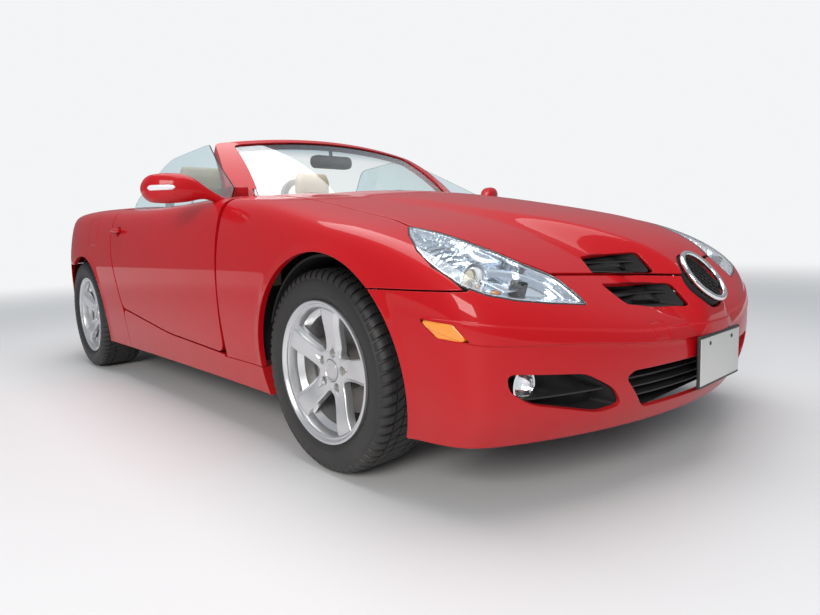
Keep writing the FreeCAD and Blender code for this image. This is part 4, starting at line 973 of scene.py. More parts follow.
# %% The front bumper
NOSE_CORE, UNROLL, SIDE_TURN = 1300.0, 700.0, 1.42
RING_ROOM = RING_OUTSIDE + 6
BUMPER_FOOT = 190.0
WING_FOOT, WING_TIP = 584.0, 1760.0
LAMP_FLOOR, MARKER_Y, NOSE_FROM = 500.0, 760, 1700
LOWER_SLOT = [(-365, 572), (-130, 558), (-112, 492), (-240, 500), (-345, 518)]
SIDE_INTAKE = [(-760, 385), (-752, 340), (-700, 303), (-500, 252), (-430, 262), (-470, 315), (-560, 365)]
CENTRE_INTAKE = [(-430, 335), (-405, 352), (405, 352), (430, 335), (345, 238), (-345, 238)]
MARKER = [(1645, 516), (1744, 508), (1784, 464), (1700, 472)]
LAMP_OUTLINE = [(1452, -706)] + LAMP_INNER + [
    (1897, -488), (1862, -616), (1830, -703), (1792, -771), (1745, -812), (1663, -826), (1598, -813),
    (1515, -764)]


def unrolled(p):
    """The nose laid flat: how far round it a point is, and its height."""
    return np.column_stack([UNROLL * np.arctan2(p[:, 1], p[:, 0] - NOSE_CORE), p[:, 2]])


def rolled(flat):
    turn = flat[:, 0] / UNROLL
    start = np.column_stack([np.full(len(flat), NOSE_CORE), np.zeros(len(flat)), flat[:, 1]])
    return pierce(start, np.column_stack([np.cos(turn), np.sin(turn), np.zeros(len(flat))]), 1200)


def bumper_sheet():
    lamp = smooth_outline(LAMP_OUTLINE, 22)
    marker = smooth_outline(MARKER, 10)
    slot, flank, middle = (fine_line(smooth_outline(c, r)) for c, r in
                           ((LOWER_SLOT, 12), (SIDE_INTAKE, 24), (CENTRE_INTAKE, 24)))
    cx, cz, radius = ARCHES[0]
    arch = from_side(circle((cx, cz), radius, -28, 52, 60))
    rim = from_side(np.column_stack([np.linspace(1440, WING_TIP, 50), np.full(50, WING_FOOT)]))
    tip = from_side(np.column_stack([np.full(12, WING_TIP), np.linspace(WING_FOOT, 640, 12)]))
    right = [(arch, False), (rim, False), (tip, False), (from_plan(fine_line(lamp)), True),
             (from_front(slot), True), (from_front(flank), True), (from_side(fine_line(marker)), True)]
    lines = [(unrolled(line), closed) for line, closed in right]
    lines += [(line * (-1, 1), closed) for line, closed in lines]
    foot = np.column_stack([UNROLL * np.linspace(-SIDE_TURN, SIDE_TURN, 120), np.full(120, BUMPER_FOOT)])
    lines += [(foot, False), (unrolled(shut_line(SHUT_GAP)), False), (unrolled(from_front(middle)), True),
              (unrolled(ring_line(RING_ROOM)), True)]

    def keep(p):
        x, y, z = p[:, 0], -np.abs(p[:, 1]), p[:, 2]
        front = np.column_stack([y, z])
        solid = (x > NOSE_CORE) & (z > BUMPER_FOOT) & (z < split_height(y) - SHUT_GAP)
        solid &= (np.hypot(x - cx, z - cz) > radius) & (off_ring_axis(p) > RING_ROOM)
        solid &= ~((x < WING_TIP) & (z > WING_FOOT))
        solid &= ~((z > LAMP_FLOOR) & within(np.column_stack([x, y]), lamp))
        solid &= ~((y < -MARKER_Y) & within(np.column_stack([x, z]), marker))
        opening = within(front, slot) | within(front, flank) | within(front, middle)
        return solid & ~((x > NOSE_FROM) & opening)

    return drawn(lines, rolled, keep)


print("headlamp outline corners", len(LAMP_OUTLINE))

# %% The boot lid and the tail lamps
LID_OUT = np.array((-0.5, 0, 0.866))
LID_ALONG = np.array((0.866, 0, 0.5))
LID_MIDDLE = np.array((-1500.0, 0, 700.0)) - LID_OUT * 250
LID_PLAN = [(-877, -640), (-877, 640), (-1840, 594), (-2200, 560), (-2200, -560), (-1840, -594)]
TAIL_SPLIT = 612.0
TAIL_LAMP = [(-601, 616), (-900, 616), (-900, 800), (-611, 800)]
TAIL_LAMP_FRONT = -1822.4


def lid_flat(p):
    return np.column_stack([p[:, 1], (p - LID_MIDDLE) @ LID_ALONG])


def lid_lift(flat):
    return pierce(LID_MIDDLE + flat[:, :1] * ACROSS + flat[:, 1:] * LID_ALONG, LID_OUT, 900)


def lid_side():
    """The lid's right edge down the tail: the body's surface over the slanted side of its plan."""
    (x0, y0), (x1, y1) = LID_PLAN[5], LID_PLAN[4]
    z = np.linspace(600, 945, 60)
    y = np.full(60, float(y0))
    for _ in range(6):
        line = from_rear(np.column_stack([y, z]))
        y = y0 + (x0 - line[:, 0]) * (y1 - y0) / (x0 - x1)
    return line[line[:, 0] < -1835]


def lid_sheet():
    plan = smooth_outline(LID_PLAN, 40)
    front = fine_line(plan)
    front = from_plan(front[front[:, 0] > -1845])
    edge = lid_side()
    foot = from_rear(np.column_stack([np.linspace(-640, 640, 160), np.full(160, TAIL_SPLIT + SHUT_GAP)]))
    lines = [(lid_flat(line), False) for line in (*runs(front, 100), foot, edge, edge * (1, -1, 1))]
    return drawn(lines, lid_lift, lambda p: within(p[:, :2], plan) & (p[:, 2] > TAIL_SPLIT + SHUT_GAP))


def tail_lamp_sheet():
    outline = smooth_outline(TAIL_LAMP, 20)
    front = from_side(np.column_stack([np.full(40, TAIL_LAMP_FRONT), np.linspace(600, 820, 40)]), 300)
    inner = fine_line(outline)
    inner = inner[inner[:, 0] > -800]
    lines = [(lid_flat(from_rear(part)), False) for part in runs(inner, 60) if len(part) > 1]
    lines.append((lid_flat(front), False))

    def keep(p):
        return within(p[:, 1:], outline) & (p[:, 0] < TAIL_LAMP_FRONT)

    points, tris, outer = drawn(lines, lid_lift, keep, grid=9)
    return (np.vstack([points, points * (1, -1, 1)]), np.vstack([tris, tris[:, ::-1] + len(points)]),
            np.concatenate([outer, outer]))


print("boot lid outline corners", len(LID_PLAN))

# %% The painted panels
panel("bonnet", "bonnet", PAINT, sheet=bonnet_sheet())
panel("boot_lid", "boot_lid", PAINT, sheet=lid_sheet())
panel("front_bumper", "shell", PAINT, sheet=bumper_sheet())
panel("rear_bumper", "shell", PAINT)
for part, rides in (("wing_", "shell"), ("quarter_", "shell"), ("sill_", "shell"), ("door_", "door_{side}")):
    for side in ("right", "left"):
        panel(part + side, rides.format(side=side), PAINT)

# %% [markdown]
# A tyre is a turned rubber body with separate tread blocks standing on it. The blocks are what catches
# the light on the shoulder, so they are real geometry: five rows of skewed blocks round the tyre,
# the outer rows wrapping over the shoulder. The body is a lathe profile spun in many steps.

# %% Lathe and block helpers
TYRE_RADIUS, LATHE_STEPS = 316.0, 144
WHEELS = {"front_right": (1206.0, -765.0, 205.0), "front_left": (1206.0, 765.0, 205.0),
          "rear_right": (-1224.0, -770.5, 225.0), "rear_left": (-1224.0, 770.5, 225.0)}


def add_piece(name, points, faces, material, body, slot, crease=35, replaces=None):
    """A mesh on its body, with sharp edges where it bends by more than a crease angle; its slot is not used.
    """
    piece = add_mesh(name, points, faces, material)
    if crease:
        piece.data.set_sharp_from_angle(angle=math.radians(crease))
    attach(piece, body)
    if replaces:
        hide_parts(replaces)
    return piece


def woven(rows, columns, rows_close=False, columns_close=False):
    """Quads between points kept row by row; either way may close on itself."""
    i, j = np.meshgrid(np.arange(rows if rows_close else rows - 1),
                       np.arange(columns if columns_close else columns - 1), indexing="ij")
    ahead, after = (i + 1) % rows, (j + 1) % columns
    corners = [i * columns + j, i * columns + after, ahead * columns + after, ahead * columns + j]
    return np.stack(corners, axis=-1).reshape(-1, 4)


def bar_faces(sides, count, closed=True):
    """Faces of a bar: long lines round it, with so many points each, and its two flat ends."""
    ends = np.arange(sides) * count
    return woven(sides, count, closed).tolist() + [ends.tolist(), (ends[::-1] + count - 1).tolist()]


def flipped(faces):
    """Faces wound the other way."""
    return faces[:, ::-1] if isinstance(faces, np.ndarray) else [face[::-1] for face in faces]


def spun(profile, steps):
    """Out, radius and angle of a closed profile spun once round, with its quads."""
    out, radius = np.array(profile, float).T
    angle = np.linspace(0, 2 * math.pi, steps, endpoint=False)
    quads = woven(steps, len(out), True, True)[:, [0, 3, 2, 1]]
    return np.tile(out, steps), np.tile(radius, steps), np.repeat(angle, len(out)), quads


def wheel_points(out, radius, angle, x, y):
    """Places in the car from distance outward, radius and angle from upright towards the nose."""
    side = 1 if y > 0 else -1
    return np.column_stack([x + radius * np.sin(angle), y + side * out, TYRE_RADIUS + radius * np.cos(angle)])


def facing_out(faces, y):
    """Faces wound for the right side of the car, turned over for its left side."""
    return faces if y < 0 else faces[:, ::-1]


print("wheels", len(WHEELS), "radius", TYRE_RADIUS, "mm")

# %% Tyres
PITCHES = 62
GROOVE_FLOOR, TREAD_DEPTH, BLOCK_FOOT = 308.0, 8.5, 285
BLOCK_BEVEL = 0.04


def tyre_body(half):
    side = [(88, 204), (89, 221), (94, 229), (half - 5, 240), (half - 1.5, 246), (half - 1.5, 249),
            (half - 0.5, 258), (half, 268), (half - 1.2, 280), (half - 2.2, 283), (half - 3.4, 284),
            (half - 7, 293), (half - 14, 301), (half - 26, 306), (half - 40, GROOVE_FLOOR)]
    return side + [(0, GROOVE_FLOOR)] + [(-s, r) for s, r in reversed(side)] + [(-80, 203), (80, 203)]


def tread_rows(half):
    """Each row of blocks: its section as out, radius; its skew across; share of the pitch; offset."""
    shoulder = [(half - 37, 314.6), (half - 25, 313), (half - 15, 308.5), (half - 8, 301), (half - 4, 294)]
    inner = [(half - 68, 315.6), (half - 41, 315)]
    rows = [(shoulder, 0.35, 0.74, 0.0), (inner, 0.55, 0.86, 0.4)]
    rows += [([(-s, r) for s, r in reversed(section)], skew, share, offset + 0.5)
             for section, skew, share, offset in rows]
    return rows + [([(-half + 72, 315.9), (0, TYRE_RADIUS), (half - 72, 315.9)], 0.3, 0.93, 0.2)]


def tread(half):
    """Out, radius, angle and quads of every block."""
    pitch = 2 * math.pi / PITCHES
    rows, start = [], 0
    for section, skew, share, offset in tread_rows(half):
        s, r = np.array(section, float).T
        size = 4 * len(s)
        foot = np.maximum(np.minimum(r - TREAD_DEPTH, GROOVE_FLOOR - 1), BLOCK_FOOT)
        low = (np.arange(PITCHES)[:, None] + offset + np.linspace(0, skew, len(s))) * pitch
        high, bevel = low + share * pitch, BLOCK_BEVEL * pitch
        angle = np.concatenate([low, low + bevel, high - bevel, high], axis=1)
        quads = np.array(bar_faces(4, len(s), False)) + (start + size * np.arange(PITCHES))[:, None, None]
        rows.append((np.tile(s, 4 * PITCHES), np.tile(np.concatenate([foot, r, r, foot]), PITCHES),
                     angle.ravel(), quads.reshape(-1, 4)))
        start += size * PITCHES
    return [np.concatenate(part) for part in zip(*rows)]


for name, (x, y, width) in WHEELS.items():
    body, blocks = spun(tyre_body(width / 2), LATHE_STEPS), tread(width / 2)
    points = np.vstack([wheel_points(*part[:3], x, y) for part in (body, blocks)])
    quads = np.vstack([body[3], blocks[3] + len(body[0])])
    tyre = add_piece("tread_" + name, points, facing_out(quads, y), RUBBER, "wheel_" + name, "tyre",
                     replaces="tyre_" + name)
print("blocks on a tyre", PITCHES * 5, "faces", len(tyre.data.polygons))

# %% [markdown]
# The cast wheel is a turned rim with one casting of five broad spokes. The casting is drawn as a height above
# a flat star: a distance function gives the star with soft inner corners, and the height carries the crown,
# the bevel along one side of each spoke, the rounded edges and the pockets of the five bolts.

# %% The star of spokes
SPOKE_TURN, SPOKE_END = math.radians(11), 200.0
HUB_RADIUS, HUB_BLEND = 66, 14.0
BOLT_CIRCLE, BOLT_HOLE, BOLT_FLOOR, POCKET_LENGTH = 56.0, 12.0, 43, 46
CAST_DEPTH, CAST_STEP, CAST_ROUND = 30.0, 5.0, 5


def spoke_frame(u, v):
    """Distance along and across the nearest spoke."""
    share = 2 * math.pi / 5
    angle = (np.arctan2(u, v) - SPOKE_TURN + share / 2) % share - share / 2
    radius = np.hypot(u, v)
    return radius * np.cos(angle), radius * np.sin(angle)


def half_spoke(along):
    return 35 + 7 * soft_step((along - 110) / 100)


def star(u, v):
    """Distance outside the star; the corners between spokes are softened."""
    along, across = spoke_frame(u, v)
    radius = np.hypot(u, v)
    arm, hub = np.abs(across) - half_spoke(along), radius - HUB_RADIUS
    blend = np.clip(0.5 + 0.5 * (hub - arm) / HUB_BLEND, 0, 1)
    inside = hub * (1 - blend) + arm * blend - HUB_BLEND * blend * (1 - blend)
    return np.maximum(inside, radius - SPOKE_END)


def dished(radius):
    """The height of the casting's face before its details, lower at the hub."""
    return 58 + 27 * soft_step((radius - 40) / 175)


def face_height(u, v):
    along, across = spoke_frame(u, v)
    radius = np.hypot(u, v)
    depth = np.maximum(-star(u, v), 0)
    height = dished(radius) - 2.5 * (across / 40) ** 2 * (radius > 60)
    height -= 7 * soft_step((across - half_spoke(along) + 17) / 15) * soft_step((radius - 62) / 30)
    height -= CAST_ROUND - np.sqrt(np.maximum(CAST_ROUND ** 2 - np.maximum(CAST_ROUND - depth, 0) ** 2, 0))
    hole = np.hypot(along - BOLT_CIRCLE, across)
    height -= 15 * soft_step((BOLT_HOLE + 2.5 - hole) / 3.5)
    run = (along - BOLT_CIRCLE) / POCKET_LENGTH
    pocket = np.where((run > 0) & (run < 1), (13 * (1 - run) - np.abs(across)) / 5, -1)
    height -= 9 * (1 - np.clip(run, 0, 1)) * soft_step(pocket)
    return height - 6 * soft_step((37 - radius) / 3)


def casting():
    """Points as u forward, v up and height, with triangles, of the closed casting."""
    line = np.arange(-205, 206, CAST_STEP)
    flat = np.stack(np.meshgrid(line, line, indexing="ij"), axis=-1).reshape(-1, 2)
    quads = woven(len(line), len(line))
    tris = np.concatenate([quads[:, [0, 3, 2]], quads[:, [0, 2, 1]]])
    for _ in range(2):
        edges, place = np.unique(np.sort(sides_of(tris), axis=1), axis=0, return_inverse=True)
        place = place.reshape(3, -1).T
        p, q = flat[edges[:, 0]], flat[edges[:, 1]]
        steep = np.abs(face_height(*p.T) - face_height(*q.T)) > 0.8
        wanted = steep | (np.abs(star(*(0.5 * (p + q)).T)) < 6)
        fresh = np.full(len(edges), -1)
        fresh[wanted] = len(flat) + np.arange(wanted.sum())
        flat = np.vstack([flat, 0.5 * (p + q)[wanted]])
        tris, _ = split_on(tris, np.ones(len(tris), bool), fresh[place])
    tris = tris[star(*flat[tris].mean(axis=1).T) < 0.6]
    used, tris = np.unique(tris, return_inverse=True)
    flat, tris = flat[used], tris.reshape(-1, 3)
    rim_ids = np.unique(border_of(tris))
    for _ in range(4):
        here = flat[rim_ids]
        du, dv = ((star(*(here + step).T) - star(*(here - step).T)) / 0.4 for step in ((0.2, 0), (0, 0.2)))
        size = np.maximum(du ** 2 + dv ** 2, 0.3)
        flat[rim_ids] -= np.stack([du, dv], axis=1) * (star(*here.T) / size)[:, None]
    bottom = dished(np.hypot(*flat.T)) - CAST_DEPTH
    return thick(np.column_stack([flat, face_height(*flat.T)]), np.column_stack([flat, bottom]), tris)


def bolt(u, v, height):
    """A wheel bolt's domed hexagon head standing on the floor of its hole."""
    points, faces = [], []
    for radius, rise in ((8.5, -2), (8.5, 5), (7.4, 6.2), (3.4, 6.2), (3.0, 3.5)):
        points += [(u + radius * math.cos(a), v + radius * math.sin(a), height + rise)
                   for a in np.arange(6) * math.pi / 3]
    for level in range(4):
        for k in range(6):
            a, b = level * 6 + k, level * 6 + (k + 1) % 6
            faces += [(a, b, b + 6), (a, b + 6, a + 6)]
    faces += [(24, 24 + k, 25 + k) for k in range(1, 5)]
    faces += [(0, k + 1, k) for k in range(1, 5)]
    return np.array(points), np.array(faces)


print("spokes reach", SPOKE_END, "mm")

# %% Wheels
RIM_PROFILE = [(98, 221), (90, 221), (90, 203), (58, 203), (42, 186), (-40, 186), (-56, 203), (-90, 203),
               (-90, 221), (-98, 221), (-98, 197), (-56, 195), (-42, 178), (40, 178), (56, 195), (80, 198),
               (86, 201), (90, 207), (93.5, 210.5), (96.5, 212), (98.5, 214.5), (99, 218)]
CAP = [(50, 34), (58.5, 34), (60.5, 32.5), (60.5, 30.5), (58, 29), (57.2, 27), (58.2, 18), (58.8, 8),
       (59, 0.01), (50, 0.01)]


def on_wheel(points, faces, x, y):
    """A form drawn flat on the wheel's face, set in its place."""
    side = 1 if y > 0 else -1
    placed = np.column_stack([x + points[:, 0], y + side * points[:, 2], TYRE_RADIUS + points[:, 1]])
    return placed, facing_out(faces, -y)


def spun_on_wheel(profile, steps, x, y):
    """A profile spun about the wheel's axle."""
    *places, quads = spun(profile, steps)
    return wheel_points(*places, x, y), facing_out(quads, y)


cast = casting()
bolts = [bolt(BOLT_CIRCLE * math.sin(angle), BOLT_CIRCLE * math.cos(angle), BOLT_FLOOR)
         for angle in SPOKE_TURN + np.arange(5) * 2 * math.pi / 5]
bolts = (np.vstack([points for points, _ in bolts]),
         np.vstack([faces + k * len(points) for k, (points, faces) in enumerate(bolts)]))
for name, (x, y, _) in WHEELS.items():
    for label, form, material, crease in (
            ("rim_ring_", spun_on_wheel(RIM_PROFILE, LATHE_STEPS, x, y), SILVER, 28),
            ("spokes_", on_wheel(*cast, x, y), SILVER, 50), ("bolts_", on_wheel(*bolts, x, y), STEEL, 30),
            ("cap_", spun_on_wheel(CAP, 48, x, y), BAR_SILVER, 40)):
        add_piece(label + name, *form, material, "wheel_" + name, "wheel_silver", crease,
                  "rim_" + name if label == "rim_ring_" else None)
print("casting", len(cast[1]), "triangles")

# %% [markdown]
# A headlamp is a deep bright bowl behind a clear shell that carries on the body's surface. The shell, its
# black seal and the bowl all come from one drawn skin: the seal is its border, the shell lies on the
# formula, and the bowl is the same skin pushed back into the car, deepest round the projector, with
# curved ribs behind it.

# %% Pieces on both sides, and turned and bevelled forms
REFLECTOR = finish("lamp_reflector", (0.62, 0.68, 0.74), 0.14, metallic=0.95, mottle=0.05)
WARM_GLASS = glass("projector_glass", (1.0, 0.93, 0.78))
PLATE_SILVER = finish("plate_silver", (0.66, 0.66, 0.64), 0.38, metallic=0.6, mottle=0.05)


def both(name, points, faces, material, slot, rides="shell", crease=40, replaces=None):
    """A piece on the right side and its mirror image on the left."""
    for side, sign in (("right", 1), ("left", -1)):
        add_piece(name + "_" + side, points * (1, sign, 1), faces if sign > 0 else flipped(faces), material,
                  rides.format(side=side), slot, crease, replaces and replaces.format(side=side))


def turned_about(profile, centre, axis, steps=64):
    """A closed profile of along and radius, spun about an axis through a centre."""
    axis = np.array(axis, float) / np.linalg.norm(axis)
    side = np.cross(axis, ACROSS if abs(axis[1]) < 0.9 else AHEAD)
    side /= np.linalg.norm(side)
    up = np.cross(axis, side)
    along, radius, angle, quads = spun(profile, steps)
    points = (np.array(centre, float) + along[:, None] * axis
              + radius[:, None] * (np.cos(angle)[:, None] * side + np.sin(angle)[:, None] * up))
    return points, quads[:, ::-1]


def block(centre, size, bevel, turn=0.0, lean=0.0):
    """A box with bevelled edges, turned about the upright and leant about its own breadth."""
    bm = bmesh.new()
    bmesh.ops.create_cube(bm, size=1.0)
    bmesh.ops.transform(bm, matrix=Matrix.Diagonal((*size, 1)), verts=bm.verts)
    bmesh.ops.bevel(bm, geom=bm.edges, offset=bevel, segments=3, profile=0.5, affect="EDGES")
    bmesh.ops.rotate(bm, matrix=Matrix.Rotation(lean, 3, "Y"), verts=bm.verts)
    bmesh.ops.rotate(bm, matrix=Matrix.Rotation(turn, 3, "Z"), verts=bm.verts)
    bmesh.ops.translate(bm, vec=centre, verts=bm.verts)
    bmesh.ops.triangulate(bm, faces=bm.faces)
    points = np.array([v.co[:] for v in bm.verts])
    faces = np.array([[v.index for v in face.verts] for face in bm.faces])
    bm.free()
    return points, faces


print("materials", len(bpy.data.materials))

# %% Headlamps
PROJECTOR, PROJECTOR_WAY = np.array((1702.0, -716.0, 601.0)), (1, -0.1, 0)
INTO_CAR = np.array((-0.74, 0.52, -0.42))
LAMP_STEP, LAMP_GRID, SEAL_WIDTH = 15.0, 8.5, 5.5


def lamp_skin():
    """The right lamp's outer skin, fine enough for its ribs, with its seal's ring apart."""
    outline = smooth_outline(LAMP_OUTLINE, 22)
    skin = drawn([(outline, True)], from_plan, lambda p: within(p[:, :2], outline), grid=LAMP_GRID)
    skin = divided(*skin, plain_body, lambda p: np.full(len(p), LAMP_STEP))
    return ringed(*skin, SEAL_WIDTH)


def bowl_depth(points, gap):
    """How far the bowl lies behind the shell."""
    near = np.linalg.norm((points - PROJECTOR) * (1, 1, 0.5), axis=1)
    depth = 7 + 34 * soft_step(gap / 36) + 62 * soft_step((150 - near) / 120) * soft_step(gap / 40)
    ribs = (near / 15) % 1
    return depth + 7 * ribs * soft_step((1670 - points[:, 0]) / 40) * soft_step((gap - 8) / 14)


points, tris, kinds = lamp_skin()
way = slope(points, plain_body)[0]
lens_tris, seal_tris = tris[kinds == SKIN], tris[kinds == RING]
gap = gap_to(points, points[np.unique(border_of(lens_tris))])
back = points + INTO_CAR * bowl_depth(points, gap)[:, None]
both("headlamp_seal", *thick(points - way * 0.8, points - way * 12, seal_tris), BLACK, "black_plastic",
     replaces="headlamps")
both("headlamp_shell", *thick(points - way * 0.5, points - way * 3.2, lens_tris), LENS, "lamp_clear")
both("headlamp_bowl", *thick(back, back + INTO_CAR * 2, lens_tris), REFLECTOR, "lamp_clear", crease=25)
print("headlamp triangles", len(tris))

# %% What stands in the bowl
BARREL = [(-70, 30), (-14, 42), (0, 47), (4, 47.5), (6, 46), (6, 43), (2, 39), (-4, 37.5), (-10, 37.5),
          (-66, 28)]
DOME_LENS = [(18 * math.cos(a) - 2, 37 * math.sin(a)) for a in np.linspace(0.001, math.pi / 2, 12)]
DOME_LENS += [(-6, 37), (-6, 0.02)]
GLOW = [(-9, 0.02), (-9, 34), (-7.5, 34), (-8.5, 18), (-8, 0.02)]
BULB = [(-16, 0.02), (-16, 7), (6, 8), (14, 6), (19, 0.02)]
for name, profile, material in (("ring", BARREL, REFLECTOR), ("lens", DOME_LENS[::-1], WARM_GLASS),
                                ("back", GLOW[::-1], CHROME)):
    both("projector_" + name, *turned_about(profile, PROJECTOR, PROJECTOR_WAY), material, "lamp_clear")
# A gloss black trim box in the bowl, which also stands in for the dark reflections of the bowl's chrome
# facets: painted reflection.
both("lamp_box", *block((1782, -640, 575), (36, 30, 44), 4, lean=0.3), GLOSS_BLACK, "black_plastic")
both("lamp_shelf", *block((1748, -672, 588), (90, 70, 5), 2, lean=0.35), REFLECTOR, "lamp_clear")
both("signal_bulb", *turned_about(BULB[::-1], (1752, -690, 570), (1, -0.2, 0.1), 24), AMBER, "lamp_amber")
print("lamp insides done")

# %% [markdown]
# Each opening in the nose leads into a black duct. A duct is the opening's outline carried back from the
# body's surface, so its mouth follows the panel's curve, with slats across it.

# %% Ducts behind the openings
DUCT_WALL, DUCT_GROWN, DUCT_START, DUCT_DEPTH, DUCT_TAPER = 3.0, 2.5, 17, 60, 0.85
SLAT_POINTS, SLAT_LENGTH = 9, 26


def duct(corners, depth=DUCT_DEPTH):
    """A closed-ended duct: the outline at its mouth, carried back and narrowed, with a thin wall."""
    edge = smooth_outline(corners)
    middle = edge.mean(axis=0)
    grown = edge + unit(edge - middle) * DUCT_GROWN
    x = nose_x(grown[:, 0], grown[:, 1]) - DUCT_START
    rings = []
    for share, size in ((0, 1), (0.5, (1 + DUCT_TAPER) / 2), (1, DUCT_TAPER), (1, DUCT_TAPER * 0.5)):
        rings.append(np.column_stack([x - share * depth, middle + (grown - middle) * size]))
    rings.append(np.tile(rings[-1].mean(axis=0), (len(edge), 1)))
    for ring in list(rings[-2::-1]):
        out = unit(np.column_stack([np.zeros(len(edge)), ring[:, 1:] - middle])) * DUCT_WALL
        rings.append(ring + out - np.array((DUCT_WALL if ring is not rings[0] else 0.0, 0, 0)))
    return np.vstack(rings), woven(len(rings), len(edge), True, True)


def slat(y0, y1, z, lean, back):
    """A thin slat across a duct, following the front surface."""
    y = np.linspace(y0, y1, SLAT_POINTS)
    x = nose_x(y, np.full(SLAT_POINTS, z)) - back
    section = [(0, 2), (-SLAT_LENGTH, 2 + lean), (-SLAT_LENGTH, -2 + lean), (0, -2)]
    points = np.vstack([np.column_stack([x + dx, y, np.full(SLAT_POINTS, z + dz)]) for dx, dz in section])
    return points, flipped(bar_faces(4, SLAT_POINTS))


for name, corners, body in (("upper", UPPER_SLOT, "bonnet"), ("lower", LOWER_SLOT, "shell"),
                            ("side", SIDE_INTAKE, "shell")):
    both(name + "_duct", *duct(corners), UNDERBODY, "black_plastic", rides=body)
add_piece("centre_duct", *duct(CENTRE_INTAKE, 80), UNDERBODY, "shell", "black_plastic")
for name, y0, y1, z, body in (("upper", -335, -160, 622, "bonnet"), ("lower", -352, -122, 532, "shell"),
                              ("side", -700, -470, 310, "shell")):
    both("slat_" + name, *slat(y0, y1, z, 5, 30), BLACK, "black_plastic", rides=body)
for k, z in enumerate((268, 295, 322)):
    add_piece("centre_slat_" + str(k), *slat(-365 - 12 * k, 365 + 12 * k, z, 6, 34), BLACK, "shell",
              "black_plastic")
print("ducts made")

# %% [markdown]
# The nose carries a thick bright ring round a plain black lattice, seated in a dark cup. The ring is turned,
# and the lattice is two families of thin bars cut to the ring's round.

# %% Nose ring and lattice
RING_RADIUS, WIRE, RING_STEPS = 84.0, 8.0, 96
LATTICE_PITCH, LATTICE_RADIUS, LATTICE_BARS = 17.0, 80, 9
CUP = [(-40, 0.02), (-40, 88), (-14, 88), (-14, 80), (-22, 78), (-24, 0.02)]


def lattice():
    """Bars of both families, as one mesh, with the round cut by each bar's length."""
    points, faces = [], []
    for turn, depth in ((math.radians(45), -17.0), (math.radians(-45), -15.0)):
        along = math.cos(turn) * ACROSS + math.sin(turn) * RING_UP
        across = np.cross(RING_AXIS, along)
        for k in (np.arange(LATTICE_BARS) - LATTICE_BARS // 2) * LATTICE_PITCH:
            half = math.sqrt(LATTICE_RADIUS ** 2 - k ** 2)
            faces += [[len(points) + q for q in quad] for quad in bar_faces(4, 2)]
            for v, w in ((-1, -1), (1, -1), (1, 1), (-1, 1)):
                middle = RING_CENTRE + across * (k + v * 1.6) + RING_AXIS * (depth + w * 2.5)
                points += [middle - along * half, middle + along * half]
    return np.array(points), faces


torus = [(WIRE * math.sin(a), RING_RADIUS + WIRE * math.cos(a)) for a in np.linspace(0, 2 * math.pi, 25)[:-1]]
add_piece("nose_ring_bright", *turned_about(torus, RING_CENTRE, RING_AXIS, RING_STEPS), CHROME, "bonnet",
          "chrome_trim", None, "nose_ring")
add_piece("nose_cup", *turned_about(CUP[::-1], RING_CENTRE, RING_AXIS, RING_STEPS), UNDERBODY, "bonnet",
          "black_plastic")
add_piece("nose_lattice", *lattice(), BLACK, "bonnet", "black_plastic")
print("lattice bars", 2 * LATTICE_BARS)

# %% [markdown]
# Marker lamps are the CAD node laid on the body's formula, as the panels are, and the tail lamps are
# drawn on it. The fog lamps are small turned bowls in the side intakes, and the number plates are blank.

# %% Markers, tail lamps, fog lamps and plates
FOG = (1800.0, -690.0, 345.0)
FOG_BODY = [(-30, 0.02), (-30, 38), (30, 44), (36, 44), (36, 38), (30, 36), (8, 26), (0, 12), (-2, 0.02)]
FOG_LENS = [(31, 0.02), (31, 37), (34, 37), (38, 24), (40, 0.02)]
SCREW = [(-2, 0.02), (-2, 6), (1.0, 6), (1.9, 4), (1.9, 0.02)]
SCREW_Y, SCREW_DOWN = 82, 26
panel("marker_lamps", "shell", AMBER)
panel("tail_lamps", "shell", RED_LENS, tail_lamp_sheet())
both("fog_bowl", *turned_about(FOG_BODY[::-1], FOG, AHEAD), CHROME, "lamp_clear", replaces="fog_lamps")
both("fog_lens", *turned_about(FOG_LENS[::-1], FOG, AHEAD), LENS, "lamp_clear")
both("fog_bracket", *block((1787, -690, 398), (14, 20, 104), 3), BLACK, "black_plastic")


def plate(name, x, z, half_y, half_z, facing):
    """A dark holder with a rim, a blank plate in it and its two screws."""
    holder = block((x, 0, z), (8, 2 * half_y, 2 * half_z), 2.5)
    sheet = block((x + facing * 4, 0, z), (4, 2 * half_y - 14, 2 * half_z - 16), 1.2)
    pieces = [("_holder", holder, BLACK), ("_blank", sheet, PLATE_SILVER)]
    for label, y in (("_screw_2", -SCREW_Y), ("_screw_1", SCREW_Y)):
        place = (x + facing * 6, y, z + half_z - SCREW_DOWN)
        pieces.append((label, turned_about(SCREW[::-1], place, (facing, 0, 0), 16), BLACK))
    for label, form, material in pieces:
        add_piece(name + label, *form, material, "shell", "black_plastic", replaces="plates")


plate("front_plate", 2036, 334, 152, 76, 1)
plate("rear_plate", -2031, 525, 160, 55, -1)
print("front done")

# %% [markdown]
# A dark liner over each rear wheel closes the space between the tyre and the boot.

# %% Rear wheel liners
LINER = [(-560, 358), (-560, 363), (-822, 363), (-822, 358)]
LINER_POINTS, LINER_PAST = 49, 0.35
cx, cz, _ = ARCHES[1]
turn = np.linspace(-LINER_PAST, math.pi + LINER_PAST, LINER_POINTS)
lines = [np.column_stack([cx + r * np.cos(turn), np.full(LINER_POINTS, float(y)), cz + r * np.sin(turn)])
         for y, r in LINER]
both("rear_liner", np.vstack(lines), bar_faces(4, LINER_POINTS), UNDERBODY, "underbody")
print("liners done")

# %% [markdown]
# The cabin is seen through the screen and over the doors. The seats carry the most of it: a base cushion,
# a backrest with side bolsters and sewn channels, and a head restraint on two posts, in smooth pale leather.
# Each is a crowned closed form from one formula, thick in the middle and pulled in at its sewn edges.

